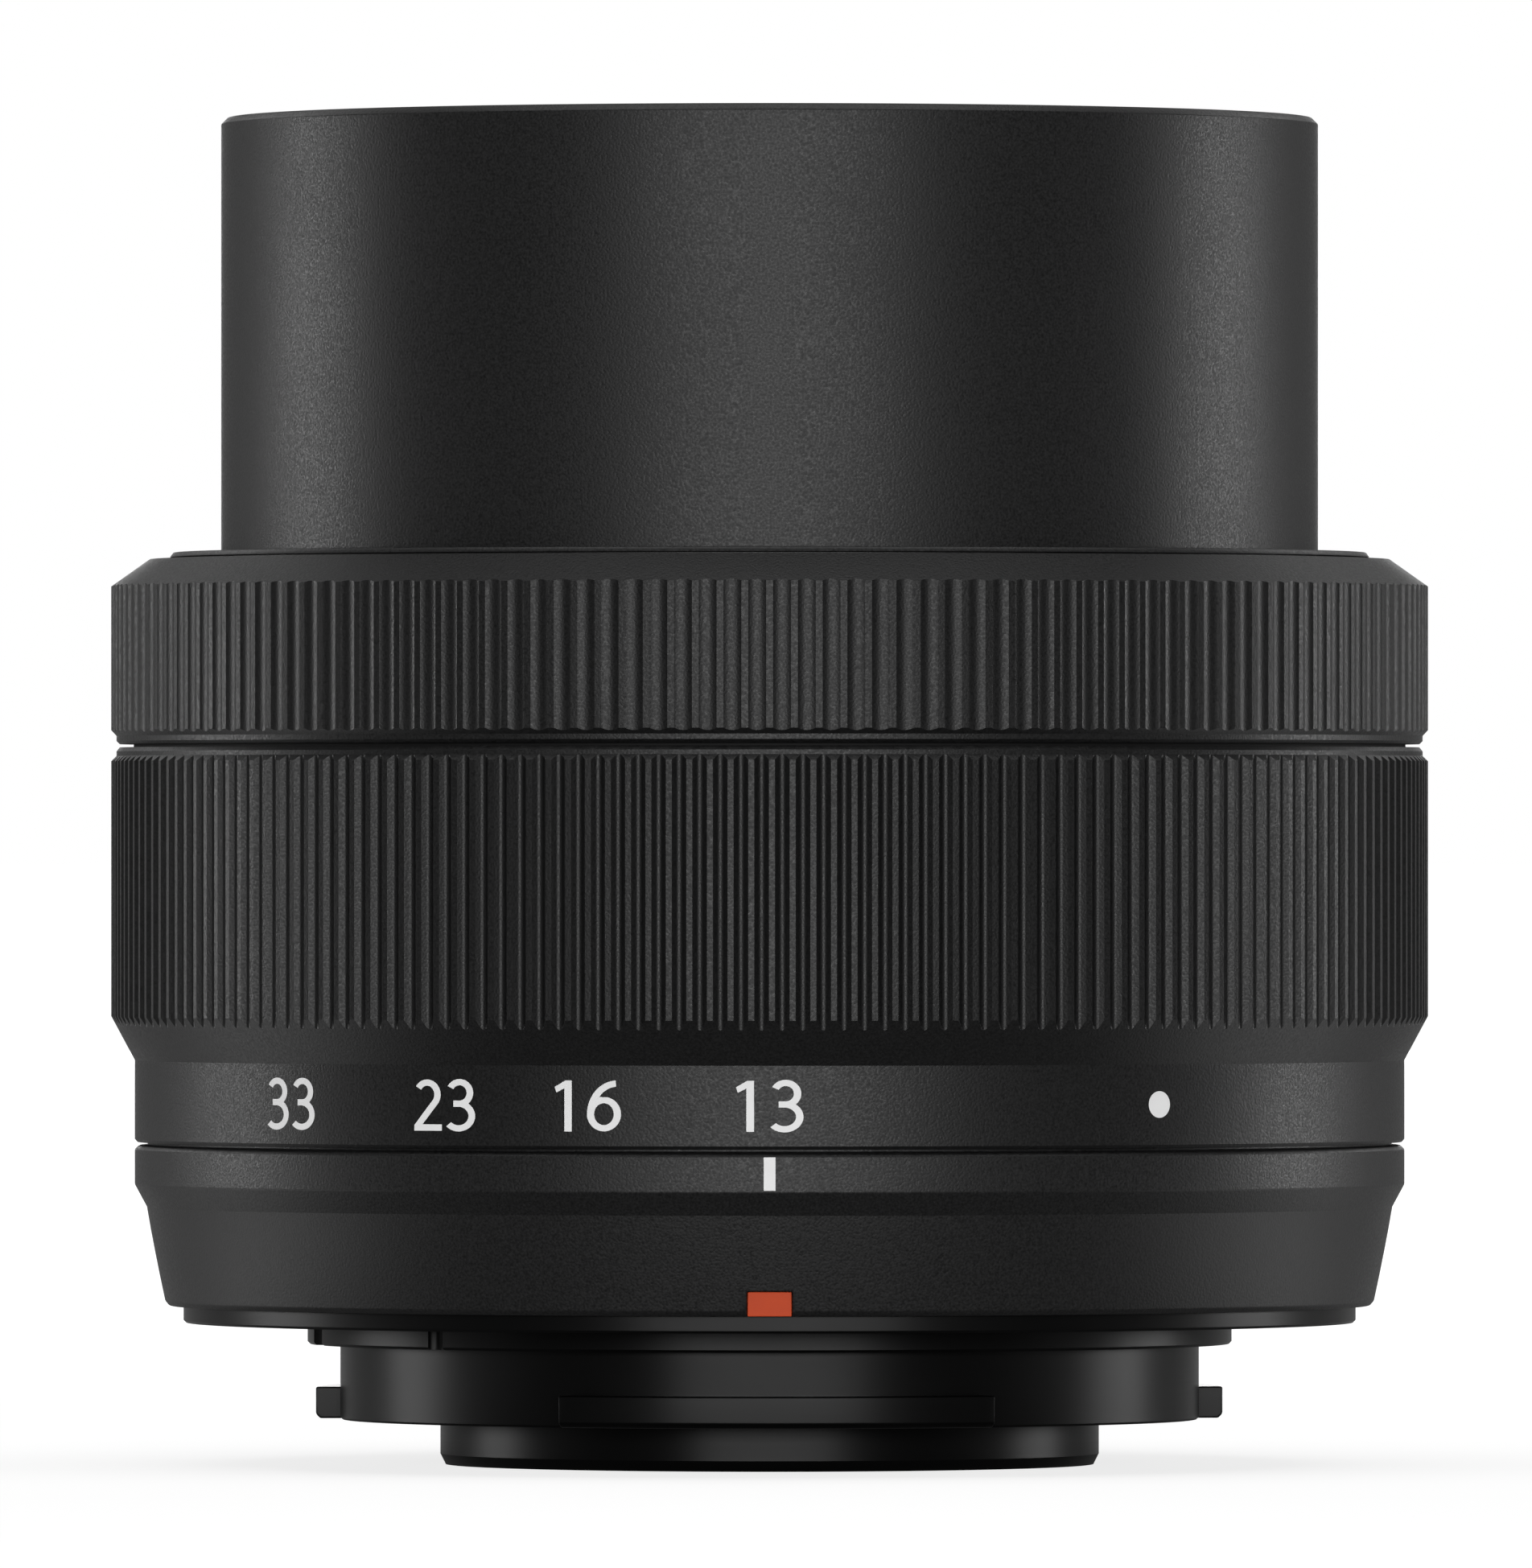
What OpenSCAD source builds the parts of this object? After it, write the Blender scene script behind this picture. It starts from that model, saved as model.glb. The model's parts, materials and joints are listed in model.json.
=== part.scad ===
// Compact retractable zoom lens, extended at its widest setting.
// Origin on the mount's bearing face, +Z to the front, index line on -Y. Angles run from -Y towards +X.

/* [Mount] */
// diameter of the centring ring, the base of all other diameters
spigot_d = 43.44; // [43:0.02:44]
// height of the centring ring
spigot_h = 1; // [0.8:0.05:1.2]
// step from the centring ring in to the bayonet tube
spigot_step = 1.54; // [1.4:0.02:1.7]
// wall of the bayonet tube
bayonet_wall = 1.58; // [1.4:0.02:1.8]
// reach of the bayonet tube behind the flange
bayonet_h = 4.55; // [4.2:0.05:5]
// height of the lugs above the bayonet tube
lug_rise = 1.16; // [1:0.02:1.3]
// thickness of a lug
lug_t = 1.5; // [1.3:0.05:1.8]
// angle that one lug covers
lug_angle = 56.6; // [50:0.1:60]
// turn of the lugs from the index
lug_turn = 1; // [0:0.5:4]
// radial distance from the centring ring out to the mount screws
screw_margin = 2.68; // [2.5:0.02:2.9]
// radial distance from the mount screws out to the boss's edge
boss_margin = 2; // [1.8:0.05:2.4]
// overhang of the bearing flange beyond the boss
flange_margin = 1.15; // [0.9:0.05:1.4]
// thickness of the bearing flange
flange_t = 0.8; // [0.7:0.05:1]
// number of contacts
contact_count = 10; // [6:1:12]
// width of the space for the contacts, between the mount's bore and the baffle
contact_room = 3.12; // [3:0.02:3.3]
// reach of the rear baffle behind the flange
baffle_reach = 6.66; // [6.4:0.02:7]

/* [Casing] */
// wall of the base shell round the mount's boss at its foot
foot_wall = 2.01; // [1.8:0.02:2.2]
// step from the foot out to the plain bands
band_step = 1.43; // [1.2:0.02:1.6]
// height of the base shell's top above the flange
base_h = 8.34; // [8.2:0.02:8.6]
// step from the grips in to the front cover ring
cover_step = 2.75; // [2.65:0.02:2.85]
// wall of the fixed barrel
fixed_wall = 1; // [0.8:0.05:1.1]
// wall of the extension sleeve
sleeve_wall = 0.85; // [0.7:0.05:0.9]

/* [Rings] */
// height of the grips above the plain bands
grip_rise = 1.11; // [1:0.01:1.3]
// wall of the zoom ring under its scale band
zoom_wall = 0.99; // [0.9:0.01:1.1]
// depth of the focus ring's bore below the plain bands
focus_bore_step = 0.44; // [0.4:0.01:0.5]
// height of the zoom ring
zoom_ring_h = 18.53; // [18:0.05:19]
// height of the zoom ring's scale band
scale_band_h = 3.84; // [3.4:0.05:4.2]
// height of the focus ring
focus_ring_h = 8.69; // [8.4:0.05:9]
// gap between neighbouring rings
ring_gap = 0.15; // [0.1:0.01:0.2]
// number of flutes in the zoom grip
zoom_flutes = 205; // [160:1:220]
// width of a zoom flute
zoom_flute_w = 0.68; // [0.6:0.02:0.76]
// depth of a zoom flute
zoom_flute_depth = 0.24; // [0.16:0.01:0.3]
// number of flutes in the focus grip
focus_flutes = 171; // [140:1:180]
// width of a focus flute
focus_flute_w = 0.84; // [0.76:0.02:0.96]
// depth of a focus flute
focus_flute_depth = 0.08; // [0.06:0.01:0.2]

/* [Front barrel] */
// step from the barrel's collar in to the sliding front barrel
collar_step = 0.82; // [0.7:0.02:0.9]
// wall of the front barrel
barrel_wall = 2.2; // [2:0.05:2.4]
// height of the barrel above the cover ring when extended
barrel_stand = 20.42; // [20.2:0.02:21]
// wall of the front barrel round the filter thread
filter_wall = 1.68; // [1.5:0.02:1.8]
// depth of the filter thread's bore
filter_h = 3.3; // [3:0.05:3.6]
// step from the filter thread in to the seat of the front cell
seat_step = 0.7; // [0.6:0.05:0.8]

/* [Motion] */
// turn that retracts the front barrel
extend_angle = 37; // [30:0.1:42]
// turn from the widest to the longest setting
zoom_angle = 47.8; // [40:0.1:52]
// travel of the zoom group
zoom_travel = 6; // [5:0.1:6]
// travel of the focus group each way
focus_travel = 0.8; // [0.6:0.05:0.9]
// radius of a front follower pin
pin_r = 1; // [0.8:0.05:1]
// radius of a zoom follower pin
zoom_pin_r = 0.8; // [0.6:0.05:0.8]

/* [Clearances] */
// radial gap of the grip rings on the fixed barrel
run_gap = 0.1; // [0.08:0.01:0.1]
// radial gap between nested sleeves
sleeve_gap = 0.15; // [0.12:0.01:0.18]
// gap at each side of a pin in its slot
slot_gap = 0.12; // [0.1:0.01:0.15]
// gap round pieces that are seated in a hole
seat_gap = 0.02; // [0.015:0.005:0.03]
// axial gap between stacked moving pieces
axial_gap = 0.15; // [0.12:0.01:0.18]

/* [Iris] */
// radius of the opening with the blades folded back
iris_open_r = 4.3; // [4:0.05:4.4]
// turn of a blade from folded back to the middle position
blade_swing = 12; // [8:0.5:13]
// thickness of a blade
blade_t = 0.1; // [0.08:0.01:0.12]
// spacing of neighbouring blades along the axis
blade_step = 0.16; // [0.15:0.01:0.17]

/* [Hidden] */
$fn = 96;
eps = 0.01;

// radii of the mount, from the centring ring inwards
spigot_r = spigot_d / 2;
bayonet_r = spigot_r - spigot_step;
lug_r = bayonet_r + lug_rise;
mount_bore_r = bayonet_r - bayonet_wall;
shoulder_r = mount_bore_r - 1;
baffle_r = mount_bore_r - contact_room;
baffle_wall = 0.9;
contact_pcd_r = baffle_r + 1.52;

// radii of the casing, from the centring ring outwards
screw_pcd_r = spigot_r + screw_margin;
boss_r = screw_pcd_r + boss_margin;
flange_r = boss_r + flange_margin;
foot_r = boss_r + foot_wall;
band_r = foot_r + band_step;
grip_r = band_r + grip_rise;
cover_r = grip_r - cover_step;

// radii of the nested tubes, from the bands inwards
zoom_bore_r = band_r - zoom_wall;
fixed_r = zoom_bore_r - run_gap;
fixed_bore_r = fixed_r - fixed_wall;
sleeve_r = fixed_bore_r - sleeve_gap;
sleeve_bore_r = sleeve_r - sleeve_wall;
collar_r = sleeve_bore_r - sleeve_gap;
barrel_r = collar_r - collar_step;
filter_r = barrel_r - filter_wall;
seat_r = filter_r - seat_step;
focus_bore_r = band_r - focus_bore_step;
fixed_top_r = focus_bore_r - run_gap;
divider_r = band_r + 0.06;
lip_bore_r = divider_r + run_gap;
barrel_bore_r = barrel_r - barrel_wall;
cam_r = barrel_bore_r - 0.5;
cam_bore_r = cam_r - 0.95;
guide_r = cam_bore_r - sleeve_gap;
guide_bore_r = guide_r - 1;
group_r = guide_bore_r - 0.2;

// heights of the outside
zoom_z = base_h + ring_gap;
zoom_top = zoom_z + zoom_ring_h;
focus_z = zoom_top + ring_gap;
focus_top = focus_z + focus_ring_h;
web_z = focus_top - 0.96;
cover_z = focus_top + 0.08;
cover_top = cover_z + 0.24;
barrel_top = cover_top + barrel_stand;
scale_top = zoom_z + scale_band_h;
zoom_grip_z = scale_top + 2.07;
zoom_grip_top = zoom_top - 0.65;
focus_grip_z = focus_z + 0.66;
focus_grip_top = focus_top - 1.28;
lip_r = grip_r - 0.25;
mouth_r = grip_r - 0.4;

// heights of the inside
floor_z = flange_t + 1.4;
floor_top = floor_z + 1.2;
key_z = zoom_z + 1.1;
key_t = 1;
cam_foot_z = key_z - 0.7;
plate_z = key_z - 3;
foot_z = plate_z + 0.8;
foot_t = 0.6;
pin_low = key_z + key_t + 0.4 + 1.6;
fixed_top = web_z - axial_gap;
fixed_flange_z = fixed_top - 0.75;
sleeve_top = fixed_flange_z - 0.2;
pin_z = sleeve_top - pin_r - 1.1;
barrel_travel = pin_z - pin_low;
barrel_z = pin_z - 1.6;
zoom_pin_z = key_z + 2;
tube_top = zoom_pin_z + zoom_travel + 3.4;
divider_z = zoom_top - 0.37;
divider_top = focus_z + 0.38;

// mount details
shoulder_z = -1.2;
screw_head_r = 1.4;
screw_r = 0.7;
lock_slot_r = 1.3;
contact_r = 0.5;
contact_pitch = 6.3;
contact_face_z = -bayonet_h + 0.15;
contact_span = contact_pitch * contact_count / 2 + 1.5;

// follower pins, drive keys and small screws
pin_turn = [30, 150, 270];
zoom_pin_turn = [0, 120, 240];
key_turn = [70, 250];
key_w = 5;
key_half = asin(key_w / 2 / sleeve_bore_r) + 0.8;
pin_in_r = barrel_bore_r + 0.5;
pin_out_r = fixed_r - 0.25;
small_head_r = 1;
small_screw_r = 0.5;
board_z = floor_top;
board_t = 0.8;
board_w = 3.3;
board_out_r = floor_edge_r() - 1.3;
board_in_r = board_out_r - board_w;
mini_pcd_r = board_in_r - 1.7;
floor_bore_r = mini_pcd_r - 1.4;

// focus unit
frame_wall_r = shoulder_r - 1.4;
motor_r = 2.33;
motor_gap = 0.15;
frame_floor_z = -1.15;
frame_floor_t = 1;
frame_floor_top = frame_floor_z + frame_floor_t;
rod_pcd_r = baffle_r - baffle_wall - motor_gap - motor_r;
rod_r = 0.6;
rod_turn = [90, 270];
screw_turn = 0;
rod_plate_z = floor_top + 0.1;
rod_plate_t = 0.9;
arm_z = 1;
arm_t = 1;
nut_r = 1.45;
nut_flange_r = 2;
nut_flange_t = 0.4;
motor_h = baffle_reach - 1.21 + frame_floor_z;
lead_r = 0.6;
lead_gap = 0.04;
cell_wall = 1;
focus_cell_r = rod_pcd_r - nut_flange_r - 2.5;
focus_lens_r = focus_cell_r - cell_wall;
rear_cell_r = rod_pcd_r - motor_r - 0.17;
rear_lens_r = rear_cell_r - 1.6;
rear_cell_end = -baffle_reach + 1.06;
lens_10_z = rear_cell_end + 0.6;
lens_9_z = lens_10_z + 1.5;
lens_9_top = lens_9_z + 1.5;

// front group
cell_r = barrel_bore_r - 2.18;
thread_z = barrel_top - filter_h;
bezel_top = thread_z - 0.3;
bezel_z = bezel_top - 0.8;
cell_flange_t = 0.6;
cell_flange_z = bezel_z - cell_flange_t;
lens_1_r = cell_r - 4.9;
lens_2_r = lens_1_r - 4.1;
lens_3_r = lens_2_r - 1.8;
lens_1_z = cell_flange_z - 6.6;
lens_1_top = lens_1_z + 5;
lens_2_z = lens_1_z - 1.8;
lens_2_top = lens_2_z + 1.4;
lens_3_z = lens_2_z - 1.8;
cell_z = lens_3_z - 0.5;
lens_3_top = lens_3_z + 1.4;

// zoom group, from the pins' level
cell_body_r = 10.6;
cell_body_z = zoom_pin_z - 2.9;
cell_body_top = zoom_pin_z + 3.3;
lens_4_r = cell_body_r - 2;
lens_5_r = lens_4_r - 0.8;
lens_6_r = lens_5_r - 0.8;
lens_4_z = zoom_pin_z + 1.1;
lens_5_z = zoom_pin_z - 0.1;
iris_z = cell_body_z;
iris_plate_t = 0.4;
iris_chamber_r = cell_body_r - 1.4;
iris_roof_z = lens_5_z - 0.15;
lens_6_z = cell_body_z - 1.4;
lens_7_z = lens_6_z - 2.4;
rear_tube_z = lens_7_z - 0.3;
rear_tube_r = lens_6_r + 1.3;
rim_in_r = group_r - 1.9;
rim_z = zoom_pin_z - 1;
rim_t = 2;

// iris
blade_drive_r = iris_chamber_r - 1;
blade_pivot_r = blade_drive_r - 1.3;
blade_pin_r = 0.3;
blade_pin_gap = 0.04;
blade_out_r = blade_pivot_r - 0.7;
blade_sweep = 112;
blade_eye_r = 0.75;
blade_tail_w = 0.9;
blade_count = 7;
blade_z = iris_z + iris_plate_t + 0.1;
iris_ring_z = blade_z + blade_step * blade_count + 0.08;
iris_ring_t = 0.5;

black = [0.09, 0.09, 0.1];
dark = [0.2, 0.2, 0.22];
metal = [0.72, 0.73, 0.75];
gold = [0.85, 0.68, 0.3];
glass = [0.7, 0.8, 0.85, 0.5];

// a ring of rectangular section
module ring(r0, r1, z0, z1) {
  rotate_extrude()
    translate([r0, z0])
      square([r1 - r0, z1 - z0]);
}

// part of a ring, between two angles
module arc(r0, r1, z0, z1, a0, a1) {
  rotate([0, 0, a0 - 90])
    rotate_extrude(angle = a1 - a0)
      translate([r0, z0])
        square([r1 - r0, z1 - z0]);
}

// places its children at an angle, on a radius and at a height
module at(angle, r, z = 0) {
  rotate([0, 0, angle])
    translate([0, -r, z])
      children();
}

// a pin whose axis points away from the lens axis
module radial_pin(angle, r, r0, r1, z) {
  rotate([0, 0, angle])
    translate([0, -r0, z])
      rotate([90, 0, 0])
        cylinder(r = r, h = r1 - r0);
}

// a straight slot along the lens axis for a radial pin
module straight_slot(angle, w, r0, r1, z0, z1) {
  rotate([0, 0, angle])
    translate([-w / 2, -r1, z0])
      cube([w, r1 - r0, z1 - z0]);
}

// a slot that turns by swing while it climbs by rise, for a pin of radius r
module helical_slot(angle, swing, rise, r, tube_r0, tube_r1, z) {
  lean = atan(tube_r1 * swing * PI / 180 / rise);
  w = 2 * (r + slot_gap) / cos(lean);
  over = r + slot_gap + 0.1;
  total = swing * (rise + 2 * over) / rise;
  translate([0, 0, z - over])
    linear_extrude(height = rise + 2 * over, twist = total, slices = ceil(total / 2), $fn = 4)
      rotate(angle + swing * over / rise)
        translate([-w / 2, -tube_r1 - 0.5])
          square([w, tube_r1 - tube_r0 + 1]);
}

// a screw with its head below, standing on a face at height z
module screw_up(head_r, head_h, shank_r, shank_h) {
  difference() {
    translate([0, 0, -head_h])
      cylinder(r = head_r, h = head_h);
    for (turn = [0, 90])
      rotate([0, 0, turn])
        translate([-head_r * 0.6, -0.12, -head_h - eps])
          cube([head_r * 1.2, 0.24, head_h * 0.5]);
  }
  translate([0, 0, -eps])
    cylinder(r = shank_r, h = shank_h + eps);
}

// radius of a spherical face that is deep by sag over a clear radius
function face_r(clear, sag) = (clear * clear + sag * sag) / (2 * abs(sag));

// a lens element: rim between zb and zt, its faces bulge by a positive sag and are hollow by a negative one
module element(r, zb, zt, top_sag, top_clear, low_sag, low_clear) {
  top_r = face_r(top_clear, top_sag);
  low_r = face_r(low_clear, low_sag);
  rotate_extrude()
    difference() {
      union() {
        translate([0, zb])
          square([r, zt - zb]);
        if (top_sag > 0)
          intersection() {
            translate([0, zt + top_sag - top_r])
              circle(r = top_r, $fn = 256);
            translate([0, zt - eps])
              square([top_clear, top_r]);
          }
        if (low_sag > 0)
          intersection() {
            translate([0, zb - low_sag + low_r])
              circle(r = low_r, $fn = 256);
            translate([0, zb - low_r + eps])
              square([low_clear, low_r]);
          }
      }
      if (top_sag < 0)
        translate([0, zt + top_sag + top_r])
          circle(r = top_r, $fn = 256);
      if (low_sag < 0)
        translate([0, zb - low_sag - low_r])
          circle(r = low_r, $fn = 256);
    }
}

// the outline of a grip seen from the front, with flutes all round
module fluted_disc(r, count, w, depth) {
  flute_r = (w * w / 4 + depth * depth) / (2 * depth);
  difference() {
    circle(r = r + 1);
    difference() {
      circle(r = r + 2);
      circle(r = r);
    }
    for (i = [0 : count - 1])
      rotate((i + 0.5) * 360 / count)
        translate([0, -r + depth - flute_r])
          circle(r = flute_r);
  }
}

module bayonet_mount() {
  color(dark)
    difference() {
      union() {
        rotate_extrude()
          polygon([
            [mount_bore_r, -bayonet_h], [bayonet_r - 0.3, -bayonet_h], [bayonet_r, -bayonet_h + 0.3],
            [bayonet_r, -spigot_h], [spigot_r - 0.12, -spigot_h], [spigot_r, -spigot_h + 0.12], [spigot_r, 0],
            [flange_r - 0.12, 0], [flange_r, 0.12], [flange_r, flange_t], [boss_r, flange_t], [boss_r, floor_z],
            [shoulder_r, floor_z], [shoulder_r, shoulder_z], [mount_bore_r, shoulder_z]
          ]);
        for (i = [0 : 2])
          lug(i * 120 + lug_turn);
      }
      for (i = [0 : 3])
        at(45 + i * 90, screw_pcd_r) {
          translate([0, 0, -1])
            cylinder(r = screw_head_r + 0.1, h = 1.7);
          cylinder(r = screw_r + 0.1, h = floor_z + 1);
        }
      at(180, screw_pcd_r, -1)
        cylinder(r = lock_slot_r, h = 2.4);
      at(-45.6, spigot_r + 0.1, -spigot_h - 1)
        cylinder(r = 0.5, h = spigot_h + 1);
      at(-77, spigot_r + 0.5, -spigot_h - 1)
        cylinder(r = 1.05, h = spigot_h + 1);
    }
}

// one bayonet lug, bevelled along its rear edge
module lug(angle) {
  rotate([0, 0, angle - lug_angle / 2 - 90])
    rotate_extrude(angle = lug_angle)
      polygon([
        [bayonet_r - 0.5, -bayonet_h + 0.02], [lug_r - 0.2, -bayonet_h + 0.02], [lug_r, -bayonet_h + 0.22],
        [lug_r, -bayonet_h + lug_t], [bayonet_r - 0.5, -bayonet_h + lug_t]
      ]);
}

module mount_screws() {
  color(metal)
    for (i = [0 : 3])
      at(45 + i * 90, screw_pcd_r, 0.7)
        screw_up(screw_head_r, 0.6, screw_r, floor_top - 0.8);
}

module rear_baffle() {
  flange_z = shoulder_z - 1;
  window_w = 2 * (baffle_r - 4.98);
  window_h = window_w - 6;
  color(black)
    difference() {
      rotate_extrude()
        polygon([
          [0, -baffle_reach], [baffle_r - 0.25, -baffle_reach], [baffle_r, -baffle_reach + 0.43],
          [baffle_r, flange_z], [mount_bore_r - 0.1, flange_z], [mount_bore_r - 0.1, shoulder_z],
          [baffle_r - baffle_wall, shoulder_z], [baffle_r - baffle_wall, -baffle_reach + 0.7], [0, -baffle_reach + 0.7]
        ]);
      translate([-window_w / 2, -window_h / 2, -baffle_reach - 1])
        cube([window_w, window_h, 3]);
      arc(baffle_r + 0.02, mount_bore_r + 1, flange_z - 1, shoulder_z + 1,
        180 - contact_span - 3, 180 + contact_span + 3);
    }
}

module contact_block() {
  color(dark)
    difference() {
      arc(baffle_r + 0.22, mount_bore_r - 0.3, contact_face_z, shoulder_z, 180 - contact_span, 180 + contact_span);
      for (i = [0 : contact_count - 1])
        at(180 + (i - contact_count / 2 + 0.5) * contact_pitch, contact_pcd_r, contact_face_z - 1)
          cylinder(r = contact_r + seat_gap, h = 2);
    }
}

module contact_pins() {
  color(gold)
    for (i = [0 : contact_count - 1])
      at(180 + (i - contact_count / 2 + 0.5) * contact_pitch, contact_pcd_r, contact_face_z - 0.3) {
        translate([0, 0, 0.15])
          cylinder(r = contact_r, h = 1.15);
        cylinder(r1 = contact_r - 0.15, r2 = contact_r, h = 0.15);
      }
}

module base_shell() {
  color(black)
    difference() {
      rotate_extrude()
        polygon([
          [foot_r - 0.19, flange_t], [foot_r, flange_t + 0.22], [foot_r + 0.47, 3.3], [band_r - 0.57, base_h - 2.9],
          [band_r, base_h - 1.84], [band_r, base_h - 0.19], [band_r - 0.2, base_h], [band_r - 0.6, base_h],
          [band_r - 0.6, zoom_z + 0.41], [fixed_r + 0.1, zoom_z + 0.41], [fixed_r + 0.1, plate_z - 1],
          [floor_edge_r() + 0.1, plate_z - 1], [floor_edge_r() + 0.1, floor_z], [boss_r + 0.15, floor_z],
          [boss_r + 0.15, flange_t]
        ]);
      mark_box(1.045, 1.15, 2, 0);
    }
}

// outer radius of the fixed barrel's rear end
function floor_edge_r() = fixed_r - 1.45;

// the recess for the alignment mark, from the foot of the base shell
module mark_box(half_w, h, depth, gap) {
  translate([-half_w + gap, -foot_r - 1, flange_t - eps])
    cube([2 * (half_w - gap), 1.46, h + eps - gap]);
}

module alignment_mark() {
  color([0.8, 0.3, 0.15])
    translate([0, 0, flange_t])
      intersection() {
        translate([-1.02, -foot_r + 0.16, 0])
          cube([2.04, 0.3, 1.13]);
        cylinder(r = foot_r - 0.1, h = 3);
      }
}

module fixed_barrel() {
  slot_w = 2 * (pin_r + slot_gap);
  color(dark)
    difference() {
      rotate_extrude()
        polygon([
          [floor_bore_r, floor_z], [floor_edge_r(), floor_z], [floor_edge_r(), plate_z - 0.9], [fixed_r, plate_z - 0.9],
          [fixed_r, divider_z], [divider_r, divider_z], [divider_r, divider_top], [fixed_top_r, divider_top],
          [fixed_top_r, fixed_top], [barrel_r + 0.52, fixed_top], [barrel_r + 0.52, fixed_flange_z],
          [fixed_bore_r, fixed_flange_z], [fixed_bore_r, plate_z - axial_gap], [board_out_r + 0.2, plate_z - axial_gap],
          [board_out_r + 0.2, floor_top], [floor_bore_r, floor_top]
        ]);
      for (a = pin_turn)
        straight_slot(a, slot_w, sleeve_r - 1, fixed_top_r + 0.1, pin_low - pin_r - 0.2, pin_z + pin_r + 0.2);
      for (a = key_turn)
        arc(sleeve_r - 1, fixed_r + 1, key_z - 0.2, key_z + key_t + 0.2,
          a - extend_angle - key_half, a + zoom_angle + key_half);
      for (i = [0 : 3])
        at(45 + i * 90, screw_pcd_r)
          cylinder(r = screw_r + seat_gap, h = floor_top + 1);
      for (i = [0 : 2]) {
        at(i * 120, screw_pcd_r, floor_z + 0.1)
          cylinder(r = small_screw_r + seat_gap, h = 2);
        at(60 + i * 120, mini_pcd_r, floor_z + 0.1)
          cylinder(r = small_screw_r + seat_gap, h = 2);
      }
      sensor_box(0.05, 0.2);
    }
}

// the seat of the focus ring's sensor in the fixed barrel
module sensor_box(gap, over) {
  rotate([0, 0, 90])
    translate([-2 - gap, -fixed_top_r - over, divider_top + 2.6 - gap])
      cube([4 + 2 * gap, 0.95 + over, 2 + 2 * gap]);
}

module ring_sensor() {
  color(dark)
    sensor_box(0, -0.1);
}

module front_cover_ring() {
  color(black)
    rotate_extrude()
      polygon([
        [barrel_r + 0.22, cover_top], [barrel_r + 0.22, cover_z], [barrel_r + 1.17, cover_z],
        [barrel_r + 1.17, fixed_top], [cover_r - 0.35, fixed_top], [cover_r - 0.35, cover_z], [cover_r, cover_z],
        [cover_r - 0.17, cover_top]
      ]);
}

module felt_seal() {
  color(black)
    ring(barrel_r + 0.1, barrel_r + 1.12, fixed_top, cover_z - 0.3);
}

module main_board() {
  color([0.1, 0.35, 0.2])
    difference() {
      ring(board_in_r, board_out_r, board_z, board_z + board_t);
      for (i = [0 : 2])
        at(i * 120, screw_pcd_r, board_z - 1)
          cylinder(r = small_screw_r + 0.1, h = 3);
    }
}

module board_chips() {
  color(dark)
    for (a = [20, 70, 100, 145, 200, 265, 300, 335])
      at(a, (board_in_r + board_out_r) / 2, board_z + board_t)
        translate([-1.6, -1.2, 0])
          cube([3.2, 2.4, 0.8]);
}

// screws that hold the board and the rear frame to the fixed barrel
module inner_screws() {
  color(metal)
    for (i = [0 : 2]) {
      at(i * 120, screw_pcd_r, board_z + board_t)
        mirror([0, 0, 1])
          screw_up(small_head_r, 0.5, small_screw_r, board_t + 0.95);
      at(60 + i * 120, mini_pcd_r, floor_top + 1)
        mirror([0, 0, 1])
          screw_up(small_head_r, 0.5, small_screw_r, 1.95);
    }
}

module flex_cable() {
  strip_w = 7;
  strip_t = 0.15;
  strip_r = contact_pcd_r - 0.15;
  strip_top = board_z + board_t + 1.4;
  end_r = (board_in_r + board_out_r) / 2 - 0.5;
  color([0.6, 0.4, 0.1])
    rotate([0, 0, 180])
      translate([-strip_w / 2, 0, 0]) {
        translate([0, -strip_r - strip_t, shoulder_z])
          cube([strip_w, strip_t, strip_top - shoulder_z]);
        translate([0, -end_r, strip_top - strip_t])
          cube([strip_w, end_r - strip_r, strip_t]);
        translate([0, -end_r, board_z + board_t])
          cube([strip_w, strip_t, strip_top - board_z - board_t]);
      }
}

module rear_frame() {
  flange_out_r = board_in_r - 0.3;
  color(dark)
    difference() {
      rotate_extrude()
        polygon([
          [frame_wall_r, floor_top], [flange_out_r, floor_top], [flange_out_r, floor_top + 1],
          [frame_wall_r - 1, floor_top + 1], [frame_wall_r - 1, rod_plate_z], [frame_wall_r - 1.8, rod_plate_z],
          [frame_wall_r - 1.8, frame_floor_top], [rear_lens_r + seat_gap, frame_floor_top],
          [rear_lens_r + seat_gap, lens_9_top + 0.6], [rear_lens_r - 0.3, lens_9_top + 0.6],
          [rear_lens_r - 0.3, lens_9_top], [rear_lens_r + seat_gap, lens_9_top],
          [rear_lens_r + seat_gap, rear_cell_end], [rear_cell_r, rear_cell_end],
          [rear_cell_r, frame_floor_z], [frame_wall_r, frame_floor_z]
        ]);
      for (i = [0 : 2])
        at(60 + i * 120, mini_pcd_r, floor_top - 1)
          cylinder(r = small_screw_r + 0.1, h = 3);
      for (a = rod_turn)
        at(a, rod_pcd_r, frame_floor_z + 0.4)
          cylinder(r = rod_r + seat_gap, h = 2);
      at(screw_turn, rod_pcd_r, frame_floor_z - 1)
        cylinder(r = lead_r + lead_gap, h = 3);
      rotate([0, 0, 180])
        translate([-4, -frame_wall_r - 2.4, floor_top - 1])
          cube([8, 2.1, 3]);
    }
}

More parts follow.
